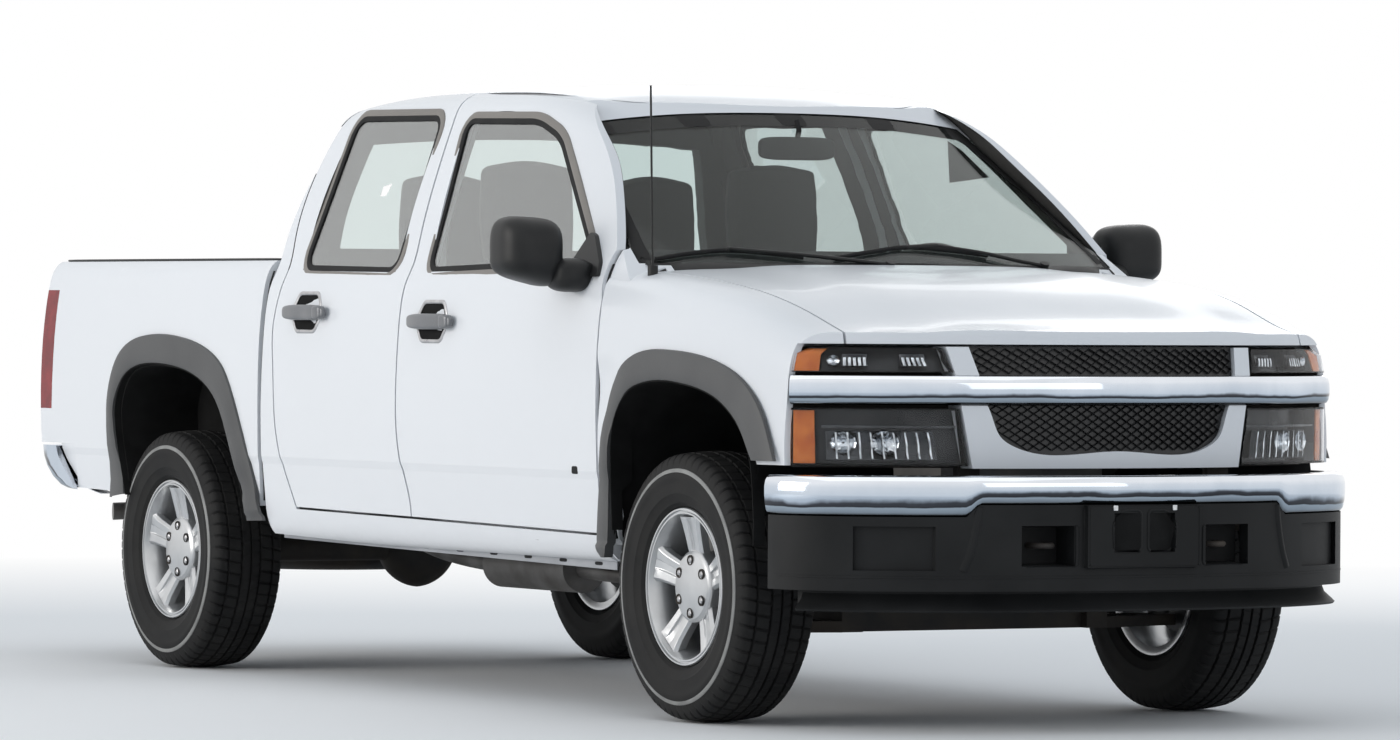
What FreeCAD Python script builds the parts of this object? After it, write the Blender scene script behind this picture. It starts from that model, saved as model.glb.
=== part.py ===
import FreeCAD, Part
import math
import os

# A four-door pickup truck with a short bed, standing on its wheels. +Z is up and the nose points to -Y, so
# the truck's left side is +X. The origin is on the floor under the middle of the overall length, and all
# sizes are in millimetres. Stations are measured back from the front axle. Left pieces are built and
# mirrored to the right. Outlines are shares of the wheelbase (along), of the roof height (up) and of half
# the body's width (across).

Vector = FreeCAD.Vector

# Driving dimensions
OVERALL_LENGTH = 5260.0
WHEELBASE = 3200.0
FRONT_OVERHANG = 965.0
BODY_HALF_WIDTH = 858.0
ROOF_HEIGHT = 1727.0
TYRE_RADIUS = 358.0
TYRE_WIDTH = 236.0
TRACK = 1462.0
PANEL_GAP = 7.0
SEAT_GAP = 0.3
OVERRUN = 60.0

FRONT_AXLE_Y = FRONT_OVERHANG - OVERALL_LENGTH / 2
REAR_AXLE_Y = FRONT_AXLE_Y + WHEELBASE
WHEEL_X = TRACK / 2

# Skins and walls
SKIN = 18.0
DOOR_FLANGE = 30.0
DOOR_DEPTH = 112.0
FLANGE_BAND = 46.0
FRAME_GAP = 12.0
CAB_WALL = 122.0
PILLAR_WALL = 64.0
ROOF_WALL = 40.0
WALL_BLEND = 90.0
GLASS_IN = 9.0
GLASS = 5.0


def at(share):
    return FRONT_AXLE_Y + share * WHEELBASE


def up(share):
    return share * ROOF_HEIGHT


def across(share):
    return share * BODY_HALF_WIDTH


def side_points(shares, x=0.0):
    return [Vector(x, at(along), up(high)) for along, high in shares]


def front_points(shares, y=0.0):
    return [Vector(across(wide), y, up(high)) for wide, high in shares]


def plan_points(shares, z=0.0):
    return [Vector(across(wide), at(along), z) for wide, along in shares]


def box(x0, x1, y0, y1, z0, z1):
    return Part.makeBox(x1 - x0, y1 - y0, z1 - z0, Vector(x0, y0, z0))


def spline(points, first=None, last=None):
    curve = Part.BSplineCurve()
    if len(points) == 2:
        return Part.makeLine(points[0], points[1])
    if first is not None or last is not None:
        curve.interpolate(Points=points, InitialTangent=first, FinalTangent=last)
    else:
        curve.interpolate(points)
    return curve.toShape()


def closed(runs):
    # One closed wire from runs of points: a run of two is straight, and a longer one is a smooth curve.
    edges = []
    for index, run in enumerate(runs):
        edges.append(spline(run))
        following = runs[(index + 1) % len(runs)]
        if run[-1].distanceToPoint(following[0]) > SEAT_GAP:
            edges.append(Part.makeLine(run[-1], following[0]))
    return Part.Wire(edges)


def extrude(runs, direction):
    return Part.Face(closed(runs)).extrude(direction)


def grow(runs, amount, normal):
    # Moves each point of closed runs outward by the amount, square to the outline in the plane of normal.
    flat = []
    for run in runs:
        for point in run:
            if not flat or flat[-1].distanceToPoint(point) > SEAT_GAP:
                flat.append(point)
    if flat[0].distanceToPoint(flat[-1]) < SEAT_GAP:
        flat.pop()
    area = Vector(0, 0, 0)
    for index, point in enumerate(flat):
        area += point.cross(flat[(index + 1) % len(flat)])
    turn = 1.0 if area.dot(normal) > 0 else -1.0
    moved = []
    for index, point in enumerate(flat):
        before = (point - flat[index - 1]).normalize()
        after = (flat[(index + 1) % len(flat)] - point).normalize()
        out_before = before.cross(normal) * turn
        out_after = after.cross(normal) * turn
        middle = out_before + out_after
        middle.normalize()
        reach = max(middle.dot(out_before), 0.4)
        moved.append(point + middle * (amount / reach))
    def lookup(point):
        best = min(range(len(flat)), key=lambda index: flat[index].distanceToPoint(point))
        return moved[best]
    return [[lookup(point) for point in run] for run in runs]


def side_prism(runs, low_x, high_x, amount=0.0):
    placed = [side_points(run, low_x) for run in runs]
    if amount:
        placed = grow(placed, amount, Vector(1, 0, 0))
    return extrude(placed, Vector(high_x - low_x, 0, 0))


def front_prism(runs, low_y, high_y, amount=0.0):
    placed = [front_points(run, low_y) for run in runs]
    if amount:
        placed = grow(placed, amount, Vector(0, 1, 0))
    return extrude(placed, Vector(0, high_y - low_y, 0))


def plan_prism(runs, low_z, high_z, amount=0.0):
    placed = [plan_points(run, low_z) for run in runs]
    if amount:
        placed = grow(placed, amount, Vector(0, 0, 1))
    return extrude(placed, Vector(0, 0, high_z - low_z))


def mirrored(shape):
    return shape.mirror(Vector(0, 0, 0), Vector(1, 0, 0))


def both(shape):
    return Part.makeCompound([shape, mirrored(shape)])


def joined(shapes):
    result = shapes[0].multiFuse(shapes[1:]) if len(shapes) > 1 else shapes[0]
    return result.removeSplitter()


def cylinder(radius, start, end):
    axis = end - start
    return Part.makeCylinder(radius, axis.Length, start, axis)


def save(name, shape):
    solids = shape.Solids
    result = solids[0] if len(solids) == 1 else Part.makeCompound(solids)
    result.exportStep("parts/" + name + ".step")
    print(name, len(solids), round(shape.Volume / 1e6, 2), shape.isValid())


# Body sections across the left half, from the rocker up to the middle of the roof
LOW_SIDE_SHARES = [
    (0.9033, 0.2368), (0.9499, 0.2461), (0.9767, 0.2721), (0.9860, 0.3127), (0.9918, 0.3474),
    (0.9942, 0.3648),
]
HIGH_SIDE_SHARES = [
    (1.0000, 0.3775), (1.0017, 0.4401), (0.9977, 0.5211), (0.9895, 0.5848), (0.9767, 0.6369),
    (0.9580, 0.6717), (0.9324, 0.6977), (0.8974, 0.7528), (0.8531, 0.8222), (0.8042, 0.8859),
    (0.7576, 0.9409), (0.7319, 0.9641), (0.6818, 0.9820), (0.5828, 0.9896), (0.3497, 0.9965),
    (0, 1.0000),
]
BELT_SHARE = 0.6977
# Stations of the cab sections with the height of the roof's middle at each
CAB_STATION_SHARES = [
    (0.0500, 0.8338), (0.1562, 0.8917), (0.2891, 0.9566), (0.3438, 0.9826), (0.4062, 0.9971),
    (0.5312, 1.0000), (0.6562, 0.9965), (0.7500, 0.9832), (0.8187, 0.9635),
]
CAB_OUTLINE_SHARES = [
    [(0.1338, 0.2200), (0.7831, 0.2461)],
    [(0.7831, 0.2461), (0.7850, 0.3243), (0.7872, 0.5061), (0.7897, 0.7122)],
    [(0.7897, 0.7122), (0.7863, 0.7962), (0.7678, 0.9068), (0.7562, 0.9844), (0.7438, 1.0307)],
    [(0.7438, 1.0307), (0.0563, 1.0307)],
    [(0.0563, 1.0307), (0.0563, 0.6659)],
    [(0.0563, 0.6659), (0.1225, 0.6659)],
    [(0.1225, 0.6659), (0.1225, 0.3706), (0.1338, 0.3011)],
    [(0.1338, 0.3011), (0.1338, 0.2200)],
]


def wall_at(z, side, pillar):
    belt = up(BELT_SHARE)
    blend = min(max((z - belt + WALL_BLEND / 2) / WALL_BLEND, 0.0), 1.0)
    return side + (pillar - side) * blend


def spaced(points, least):
    # Thins out points that a thick wall crowds together at a corner.
    kept = [points[0]]
    for point in points[1:-1]:
        if kept[-1].distanceToPoint(point) > least and points[-1].distanceToPoint(point) > least:
            kept.append(point)
    return kept + [points[-1]]


def sink(points, side, pillar, top):
    # Moves a section inward: across by the side wall, and down by the top wall.
    moved = []
    for index, point in enumerate(points):
        before = points[max(index - 1, 0)]
        after = points[min(index + 1, len(points) - 1)]
        run = (after - before).normalize()
        wall = wall_at(point.z, side, pillar)
        wide = abs(run.z)
        x = max(point.x - wide * wall, 0.0)
        moved.append(Vector(x, point.y, point.z - abs(run.x) * top if run.x < 0 else point.z))
    if points[-1].x < SEAT_GAP:
        moved[-1] = Vector(0, points[-1].y, points[-1].z - top)
    return moved


def flipped(point):
    return Vector(-point.x, point.y, point.z)


def section_wire(low, high, side, pillar, top, floor):
    y = low[0].y
    bottom = low[0].z + floor
    low = sink(low, side, pillar, 0.0)
    high = spaced(sink(high, side, pillar, top), (side + pillar + top) / 6)
    if floor:
        above = [point for point in low if point.z > bottom + floor / 4]
        low = [Vector(above[0].x, y, bottom)] + above
    edges = [
        Part.makeLine(flipped(low[0]), low[0]),
        spline(low),
        Part.makeLine(low[-1], high[0]),
        spline(high, high[1] - high[0], Vector(-1, 0, 0)),
        spline([flipped(point) for point in reversed(high)], Vector(-1, 0, 0),
               flipped(high[0]) - flipped(high[1])),
        Part.makeLine(flipped(high[0]), flipped(low[-1])),
        spline([flipped(point) for point in reversed(low)]),
    ]
    return Part.Wire(edges)


def cab_slab(side=0.0, pillar=None, top=0.0, floor=0.0):
    pillar = side if pillar is None else pillar
    wires = []
    belt = up(BELT_SHARE)
    for along, roof in CAB_STATION_SHARES:
        y = at(along)
        lift = (up(roof) - belt) / (ROOF_HEIGHT - belt)
        low = front_points(LOW_SIDE_SHARES, y)
        high = []
        for point in front_points(HIGH_SIDE_SHARES, y):
            z = belt + (point.z - belt) * lift if point.z > belt else point.z
            high.append(Vector(point.x, y, z))
        wires.append(section_wire(low, high, side, pillar, top, floor))
    return Part.makeLoft(wires, True, False)


# Front end: fenders, hood and nose share one solid, cut by a loft of plan curves that round the nose
FRONT_LOW_SIDE_SHARES = [
    (0.9231, 0.2635), (0.9580, 0.2721), (0.9790, 0.2895), (0.9883, 0.3243), (0.9918, 0.3474),
    (0.9942, 0.3648),
]
# Each front section: station, inward shift of the side, and the height of the hood's side edge
FRONT_STATION_SHARES = [
    (-0.2812, 0.1142, 0.5790), (-0.2375, 0.0862, 0.5871), (-0.2062, 0.0583, 0.5935),
    (-0.1750, 0.0303, 0.6034), (-0.1344, 0.0117, 0.6248), (-0.0875, 0.0035, 0.6485),
    (-0.0312, 0, 0.6671), (0.0359, 0, 0.6815), (0.0938, 0, 0.6891), (0.1469, 0, 0.6948),
]
SHOULDER_DROP_SHARES = [
    (0.9907, 0.1013), (0.9837, 0.0649), (0.9674, 0.0371), (0.9394, 0.0174), (0.8974, 0.0058),
    (0.8333, 0),
]
HOOD_CROWN_SHARES = [
    (0.7459, 0.0035), (0.6061, 0.0069), (0.5128, 0.0110), (0.2914, 0.0145), (0, 0.0156),
]
NOSE_PLAN_SHARES = [
    (0, -0.2581), (0.2331, -0.2544), (0.4545, -0.2428), (0.5326, -0.2362), (0.7459, -0.2131),
    (0.8974, -0.1884), (0.9580, -0.1737), (0.9907, -0.1500), (1.0140, -0.0938),
]
# Heights of the nose's plan curves, with how far each lies back
NOSE_LAYER_SHARES = [
    (0.2200, 0), (0.3706, 0), (0.5356, 0), (0.5790, 0.0081), (0.6034, 0.0144), (0.6184, 0.0312),
    (0.6340, 0.0625), (0.6659, 0.1313), (0.7296, 0.1750),
]
NOSE_LOW_LAYER_SHARES = [
    (0.2200, 0), (0.5356, 0), (0.5814, 0.0086),
]
NOSE_BACK_SHARE = 0.1875
FENDER_FRONT_SHARE = -0.1706


def front_slab(inset=0.0):
    wires = []
    for along, shift, edge in FRONT_STATION_SHARES:
        y = at(along)
        shift = across(shift)
        edge = up(edge)
        low = [Vector(point.x - shift, y, point.z) for point in front_points(FRONT_LOW_SIDE_SHARES, y)]
        high = []
        for point in front_points(HIGH_SIDE_SHARES, y):
            if point.z < edge - up(SHOULDER_DROP_SHARES[0][1]) - OVERRUN / 2:
                high.append(Vector(point.x - shift, y, point.z))
        for wide, drop in SHOULDER_DROP_SHARES:
            x = across(wide) - shift * (across(wide) / BODY_HALF_WIDTH) ** 6
            high.append(Vector(x, y, edge - up(drop)))
        for wide, rise in HOOD_CROWN_SHARES:
            high.append(Vector(across(wide), y, edge + up(rise)))
        wires.append(section_wire(low, high, inset, inset, inset, 0.0))
    return Part.makeLoft(wires, True, False)


def nose_block(inset=0.0, layers=NOSE_LAYER_SHARES, straight=False):
    wires = []
    far = at(NOSE_BACK_SHARE)
    for high, back in layers:
        z = up(high)
        curve = []
        points = plan_points(NOSE_PLAN_SHARES, z)
        for index, point in enumerate(points):
            before = points[max(index - 1, 0)]
            after = points[min(index + 1, len(points) - 1)]
            run = (after - before).normalize()
            shift = back * WHEELBASE
            curve.append(Vector(point.x - run.y * inset * (index > 0), point.y + shift + run.x * inset, z))
        curve = [flipped(point) for point in reversed(curve[1:])] + curve
        edges = [
            spline(curve, curve[1] - curve[0], curve[-1] - curve[-2]),
            Part.makeLine(curve[-1], Vector(curve[-1].x, far, z)),
            Part.makeLine(Vector(curve[-1].x, far, z), Vector(curve[0].x, far, z)),
            Part.makeLine(Vector(curve[0].x, far, z), curve[0]),
        ]
        wires.append(Part.Wire(edges))
    return Part.makeLoft(wires, True, straight)


def low_nose(inset=0.0):
    return nose_block(inset, NOSE_LOW_LAYER_SHARES, True)


def front_solid(inset=0.0):
    return front_slab(inset).common(nose_block(inset))


# Cab openings and glass
FRONT_DOOR_SHARES = [
    [(0.1372, 0.2797), (0.1344, 0.3648), (0.1363, 0.4632), (0.1391, 0.5669), (0.1400, 0.6445)],
    [(0.1400, 0.6445), (0.1472, 0.6757), (0.1500, 0.7035), (0.1469, 0.7238)],
    [(0.1469, 0.7238), (0.2897, 0.9392), (0.3156, 0.9612)],
    [(0.3156, 0.9612), (0.3538, 0.9716), (0.4375, 0.9809), (0.5316, 0.9855)],
    [(0.5316, 0.9855), (0.5147, 0.6543), (0.5128, 0.5483), (0.5116, 0.4655), (0.5044, 0.3880),
     (0.4925, 0.3329), (0.4884, 0.2878)],
    [(0.4884, 0.2878), (0.1372, 0.2797)],
]
REAR_DOOR_SHARES = [
    [(0.4884, 0.2878), (0.4928, 0.3329), (0.5047, 0.3880), (0.5116, 0.4655), (0.5128, 0.5483),
     (0.5150, 0.6543), (0.5316, 0.9855)],
    [(0.5316, 0.9855), (0.6562, 0.9832), (0.7500, 0.9722)],
    [(0.7500, 0.9722), (0.7762, 0.8350), (0.7725, 0.7470), (0.7650, 0.6781), (0.7697, 0.5935),
     (0.7644, 0.5304), (0.7538, 0.4117), (0.7316, 0.3272), (0.7200, 0.2924)],
    [(0.7200, 0.2924), (0.4884, 0.2878)],
]
FRONT_WINDOW_SHARES = [
    [(0.1750, 0.7030), (0.4831, 0.6891)],
    [(0.4831, 0.6891), (0.4906, 0.8107), (0.5003, 0.9415)],
    [(0.5003, 0.9415), (0.3650, 0.9363), (0.3178, 0.9085)],
    [(0.3178, 0.9085), (0.2188, 0.7748), (0.1750, 0.7030)],
]
REAR_WINDOW_SHARES = [
    [(0.5453, 0.6891), (0.7356, 0.6937)],
    [(0.7356, 0.6937), (0.7381, 0.8222), (0.7266, 0.9531)],
    [(0.7266, 0.9531), (0.5484, 0.9485)],
    [(0.5484, 0.9485), (0.5453, 0.6891)],
]
SCREEN_SHARES = [
    [(-0.8718, 0.7018), (0.8718, 0.7018)],
    [(0.8718, 0.7018), (0.8042, 0.8222), (0.6876, 0.9299)],
    [(0.6876, 0.9299), (0.3497, 0.9461), (0, 0.9496), (-0.3497, 0.9461), (-0.6876, 0.9299)],
    [(-0.6876, 0.9299), (-0.8042, 0.8222), (-0.8718, 0.7018)],
]
BACK_GLASS_SHARES = [
    [(-0.7226, 0.7307), (0.7226, 0.7307)],
    [(0.7226, 0.7307), (0.6993, 0.7991), (0.6387, 0.9079)],
    [(0.6387, 0.9079), (0, 0.9218), (-0.6387, 0.9079)],
    [(-0.6387, 0.9079), (-0.6993, 0.7991), (-0.7226, 0.7307)],
]
SCREEN_LOW_SHARE = 0.1737
SCREEN_HIGH_SHARE = 1.0423
# Half widths across, with the station of the windshield's surface at its low and high curves
SCREEN_CURVE_SHARES = [
    (0, -0.3753, 0.3666), (0.4662, -0.3644, 0.3834), (0.8159, -0.3406, 0.4166),
    (1.1072, -0.3113, 0.4581),
]
CAB_BACK_SHARE = 0.8438
CAB_FLOOR_Z = 545.0
CAB_FLOOR = 15.0
SILL_X = 712.0
TUNNEL_SHARES = [
    [(0.1187, 0.2895), (0.1187, 0.4053)],
    [(0.1187, 0.4053), (0.2687, 0.3706)],
    [(0.2687, 0.3706), (0.3688, 0.2895)],
    [(0.3688, 0.2895), (0.1187, 0.2895)],
]
TUNNEL_HALF_WIDTH = 185.0
DOOR_PAD_SHARES = [
    [[(0.1475, 0.3156), (0.1525, 0.3156)], [(0.1525, 0.3156), (0.1525, 0.3503)],
     [(0.1525, 0.3503), (0.1475, 0.3503)], [(0.1475, 0.3503), (0.1475, 0.3156)]],
    [[(0.1462, 0.5211), (0.1525, 0.5211)], [(0.1525, 0.5211), (0.1525, 0.5559)],
     [(0.1525, 0.5559), (0.1462, 0.5559)], [(0.1462, 0.5559), (0.1462, 0.5211)]],
    [[(0.5175, 0.4169), (0.5244, 0.4169)], [(0.5244, 0.4169), (0.5244, 0.4517)],
     [(0.5244, 0.4517), (0.5175, 0.4517)], [(0.5175, 0.4517), (0.5175, 0.4169)]],
    [[(0.5188, 0.5559), (0.5256, 0.5559)], [(0.5256, 0.5559), (0.5256, 0.5906)],
     [(0.5256, 0.5906), (0.5188, 0.5906)], [(0.5188, 0.5906), (0.5188, 0.5559)]],
]
HOOD_HINGE_SHARE = (0.1078, 0.6838)
HOOD_HINGE_X = 704.0
HOOD_HINGE_RADIUS = 9.0
HOOD_HINGE_WIDTH = 15.0
SCREEN_WALL = 46.0
SCREEN_SLOPE = 56.0
SCREEN_GLASS_IN = 6.0
SCREEN_GLASS = 6.0
COWL_HEIGHT_SHARE = 0.6705
COWL_CLEAR = 9.0


def screen_block(offset=0.0):
    wires = []
    for high, column in ((SCREEN_LOW_SHARE, 1), (SCREEN_HIGH_SHARE, 2)):
        z = up(high)
        half = [Vector(across(row[0]), at(row[column]) + offset, z) for row in SCREEN_CURVE_SHARES]
        curve = [flipped(point) for point in reversed(half[1:])] + half
        far = at(CAB_BACK_SHARE)
        edges = [
            spline(curve),
            Part.makeLine(curve[-1], Vector(curve[-1].x, far, z)),
            Part.makeLine(Vector(curve[-1].x, far, z), Vector(curve[0].x, far, z)),
            Part.makeLine(Vector(curve[0].x, far, z), curve[0]),
        ]
        wires.append(Part.Wire(edges))
    return Part.makeLoft(wires, True, True)


SIDE_REACH = BODY_HALF_WIDTH + OVERRUN
DOOR_INNER_X = BODY_HALF_WIDTH / 3


def door(outer, under, outline, window):
    skin = side_prism(outline, DOOR_INNER_X, SIDE_REACH, -PANEL_GAP / 2).common(outer).cut(under)
    low = box(BODY_HALF_WIDTH - DOOR_DEPTH, SIDE_REACH, at(0), at(1), 0, up(BELT_SHARE) - WALL_BLEND / 4)
    body = side_prism(outline, DOOR_INNER_X, SIDE_REACH, -FLANGE_BAND - PANEL_GAP).common(low).common(outer)
    return joined([skin, body]).cut(side_prism(window, DOOR_INNER_X, SIDE_REACH))


def build_cab():
    outer = cab_slab()
    under = cab_slab(DOOR_FLANGE)
    behind = cab_slab(DOOR_FLANGE + FRAME_GAP)
    rest = cab_slab(DOOR_FLANGE + SEAT_GAP)
    fender_rest = cab_slab(SKIN + SEAT_GAP)
    inner = cab_slab(CAB_WALL, PILLAR_WALL, ROOF_WALL, CAB_FLOOR_Z - up(LOW_SIDE_SHARES[0][1]))
    doors = {}
    for name, outline, window in (("front", FRONT_DOOR_SHARES, FRONT_WINDOW_SHARES),
                                  ("rear", REAR_DOOR_SHARES, REAR_WINDOW_SHARES)):
        doors[name] = door(outer, under, outline, window)
        pane = side_prism(window, DOOR_INNER_X, SIDE_REACH, -SEAT_GAP)
        pane = pane.common(cab_slab(GLASS_IN)).cut(cab_slab(GLASS_IN + GLASS))
        doors[name + "_glass"] = pane
    shell = outer.common(side_prism(CAB_OUTLINE_SHARES, -SIDE_REACH, SIDE_REACH)).common(screen_block())
    space = side_prism(CAB_OUTLINE_SHARES, -SIDE_REACH, SIDE_REACH, -SCREEN_WALL)
    space = space.common(inner).common(screen_block(SCREEN_WALL / math.cos(math.radians(SCREEN_SLOPE))))
    shell = shell.cut(space)
    tunnel = side_prism(TUNNEL_SHARES, -TUNNEL_HALF_WIDTH, TUNNEL_HALF_WIDTH)
    hollow = side_prism(TUNNEL_SHARES, CAB_FLOOR - TUNNEL_HALF_WIDTH, TUNNEL_HALF_WIDTH - CAB_FLOOR,
                        -CAB_FLOOR)
    shell = joined([shell, tunnel])
    low_z = up(LOW_SIDE_SHARES[0][1]) - OVERRUN
    under = box(-SILL_X, SILL_X, at(0), at(1), low_z, CAB_FLOOR_Z - CAB_FLOOR)
    mouth = box(CAB_FLOOR - TUNNEL_HALF_WIDTH, TUNNEL_HALF_WIDTH - CAB_FLOOR,
                at(TUNNEL_SHARES[0][0][0]) - OVERRUN,
                at(TUNNEL_SHARES[0][0][0]) + OVERRUN, low_z, up(TUNNEL_SHARES[0][1][1]) - CAB_FLOOR * 2)
    tools = [hollow, mouth, under]
    recesses = []
    pads = []
    for outline in DOOR_PAD_SHARES:
        pads.append(side_prism(outline, DOOR_INNER_X, SIDE_REACH).common(rest))
    for outline in (FRONT_DOOR_SHARES, REAR_DOOR_SHARES):
        recess = side_prism(outline, DOOR_INNER_X, SIDE_REACH, PANEL_GAP / 2).cut(behind).cut(pads)
        aperture = side_prism(outline, DOOR_INNER_X, SIDE_REACH, -FLANGE_BAND)
        tools += [recess, aperture]
        recesses += both(recess).Solids
    cowl_side = side_prism(FENDER_REAR_SHARES, DOOR_INNER_X, SIDE_REACH, PANEL_GAP / 2).cut(fender_rest)
    hinge_y = at(HOOD_HINGE_SHARE[0])
    hinge_z = up(HOOD_HINGE_SHARE[1])
    pocket = box(HOOD_HINGE_X - HOOD_HINGE_WIDTH, HOOD_HINGE_X + HOOD_HINGE_WIDTH * 3,
                 hinge_y - HOOD_HINGE_RADIUS * 3,
                 hinge_y + HOOD_HINGE_RADIUS * 2, up(COWL_HEIGHT_SHARE), hinge_z + HOOD_HINGE_RADIUS * 3)
    tools += [cowl_side, pocket]
    tools += [mirrored(tool) for tool in tools[3:]]
    tools.append(plan_prism(HOOD_SHARES, up(COWL_HEIGHT_SHARE), ROOF_HEIGHT, COWL_CLEAR))
    screen = front_prism(SCREEN_SHARES, at(-1), at(1))
    screen_cut = screen.common(screen_block(-OVERRUN)).cut(screen_block(SCREEN_WALL * 3))
    tools.append(screen_cut)
    back_y = at(CAB_OUTLINE_SHARES[1][-1][0])
    back = front_prism(BACK_GLASS_SHARES, back_y - CAB_WALL * 2, back_y + OVERRUN)
    tools.append(back)
    shell = shell.cut(tools)
    ear = box(HOOD_HINGE_X + SEAT_GAP, HOOD_HINGE_X + HOOD_HINGE_WIDTH, hinge_y - HOOD_HINGE_RADIUS,
              hinge_y + HOOD_HINGE_RADIUS,
              up(COWL_HEIGHT_SHARE) - HOOD_HINGE_RADIUS, hinge_z + HOOD_HINGE_RADIUS)
    shell = joined([shell, ear, mirrored(ear)])
    pane = front_prism(SCREEN_SHARES, at(-1), at(1), -SEAT_GAP)
    pane = pane.common(screen_block(SCREEN_GLASS_IN)).cut(screen_block(SCREEN_GLASS_IN + SCREEN_GLASS * 2))
    pane = max(pane.cut(recesses).Solids, key=lambda solid: solid.Volume)
    back_runs = side_prism(CAB_OUTLINE_SHARES, -SIDE_REACH, SIDE_REACH, -GLASS_IN)
    back_deep = side_prism(CAB_OUTLINE_SHARES, -SIDE_REACH, SIDE_REACH, -GLASS_IN - GLASS)
    back_pane = front_prism(BACK_GLASS_SHARES, back_y - CAB_WALL, back_y + OVERRUN, -SEAT_GAP)
    back_pane = back_pane.common(back_runs).cut(back_deep)
    return shell, doors, pane, back_pane


# Wheel openings and the flares round them
FRONT_ARCH_SHARES = [
    [(0.1034, 0.1737), (0.1087, 0.3660), (0.1041, 0.4511), (0.0816, 0.5009), (0.0434, 0.5206),
     (-0.0081, 0.5200), (-0.0672, 0.5014), (-0.1059, 0.4650), (-0.1294, 0.4134), (-0.1375, 0.3243)],
    [(-0.1375, 0.3243), (-0.1375, 0.1737)],
    [(-0.1375, 0.1737), (0.1034, 0.1737)],
]
REAR_ARCH_SHARES = [
    [(1.0719, 0.2200), (1.0800, 0.2994), (1.1053, 0.4395), (1.0928, 0.4945), (1.0675, 0.5223),
     (1.0178, 0.5321), (0.9481, 0.5217), (0.8984, 0.4939), (0.8675, 0.4511), (0.8366, 0.3660),
     (0.8106, 0.2664), (0.8063, 0.2200)],
    [(0.8063, 0.2200), (1.0719, 0.2200)],
]
FRONT_FLARE_SHARES = [
    [(0.1341, 0.2675), (0.1300, 0.3648), (0.1181, 0.4737), (0.0972, 0.5362), (0.0650, 0.5646),
     (0.0138, 0.5692), (-0.0553, 0.5570), (-0.1081, 0.5281), (-0.1419, 0.4812), (-0.1653, 0.4053)],
    [(-0.1653, 0.4053), (-0.1294, 0.4134)],
    [(-0.1294, 0.4134), (-0.1059, 0.4650), (-0.0672, 0.5014), (-0.0081, 0.5200), (0.0434, 0.5206),
     (0.0816, 0.5009), (0.1041, 0.4511), (0.1087, 0.3660), (0.1034, 0.2490)],
    [(0.1034, 0.2490), (0.1341, 0.2675)],
]
REAR_FLARE_SHARES = [
    [(0.7806, 0.2681), (0.7925, 0.3005), (0.8250, 0.4192), (0.8619, 0.5142), (0.8959, 0.5518),
     (0.9544, 0.5756), (1.0300, 0.5819), (1.0853, 0.5640), (1.1125, 0.5240), (1.1247, 0.4488),
     (1.1166, 0.2924)],
    [(1.1166, 0.2924), (1.0800, 0.2994)],
    [(1.0800, 0.2994), (1.1053, 0.4395), (1.0928, 0.4945), (1.0675, 0.5223), (1.0178, 0.5321),
     (0.9481, 0.5217), (0.8984, 0.4939), (0.8675, 0.4511), (0.8366, 0.3660), (0.8106, 0.2664)],
    [(0.8106, 0.2664), (0.7806, 0.2681)],
]
FLARE_OUT = 17.0
FLARE_IN_X = 800.0
ARCH_INNER_X = 575.0

# Bed
BED_HIGH_SHARES = [
    (1.0000, 0.3775), (1.0017, 0.4401), (0.9977, 0.5211), (0.9895, 0.5848), (0.9779, 0.6369),
    (0.9662, 0.6717), (0.9464, 0.6983), (0.9207, 0.7099),
]
BED_OUTLINE_SHARES = [
    [(0.7956, 0.7296), (0.7950, 0.5061), (0.7931, 0.4053), (0.7969, 0.2924)],
    [(0.7969, 0.2924), (1.2025, 0.3057)],
    [(1.2025, 0.3057), (1.2025, 0.3845)],
    [(1.2025, 0.3845), (1.2800, 0.3845)],
    [(1.2800, 0.3845), (1.2831, 0.4632), (1.2837, 0.6369), (1.2812, 0.7296)],
    [(1.2812, 0.7296), (0.7956, 0.7296)],
]
BED_RAIL_SHARE = 0.7122
BED_WALL_X = 735.0
BED_FLOOR_Z = 762.0
BED_FLOOR = 30.0
BED_FRONT_WALL = 45.0
BED_SKIRT_X = 792.0
WHEELHOUSE_WALL = 16.0
WHEELHOUSE_X = 556.0
TAILGATE_HALF_WIDTH = 694.0
TAILGATE_THICK = 52.0
TAILGATE_LOW_Z = 768.0
TAILGATE_TOP_SHARE = 0.7111
GATE_HINGE_SHARE = (1.2766, 0.4499)
GATE_PIN_RADIUS = 7.0
LAMP_LOW_SHARE = 0.4459
LAMP_TOP_SHARE = 0.6589
LAMP_FRONT_SHARE = 1.2569
LAMP_INNER_X = 712.0

# Nose pieces
BAR_SHARES = [
    [(-1.0490, 0.4899), (1.0490, 0.4899)],
    [(1.0490, 0.4899), (1.0490, 0.5345)],
    [(1.0490, 0.5345), (-1.0490, 0.5345)],
    [(-1.0490, 0.5345), (-1.0490, 0.4899)],
]
BAR_OUT = 14.0
NOSE_DEEP = 66.0
HIGH_LAMP_SHARES = [
    [(0.5268, 0.5379), (1.0490, 0.5379)],
    [(1.0490, 0.5379), (1.0490, 0.5698)],
    [(1.0490, 0.5698), (0.8159, 0.5767), (0.5478, 0.5773)],
    [(0.5478, 0.5773), (0.5268, 0.5379)],
]
LOW_LAMP_SHARES = [
    [(0.4814, 0.3972), (1.0490, 0.3984)],
    [(1.0490, 0.3984), (1.0490, 0.4864)],
    [(1.0490, 0.4864), (0.5128, 0.4864)],
    [(0.5128, 0.4864), (0.4814, 0.3972)],
]
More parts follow.
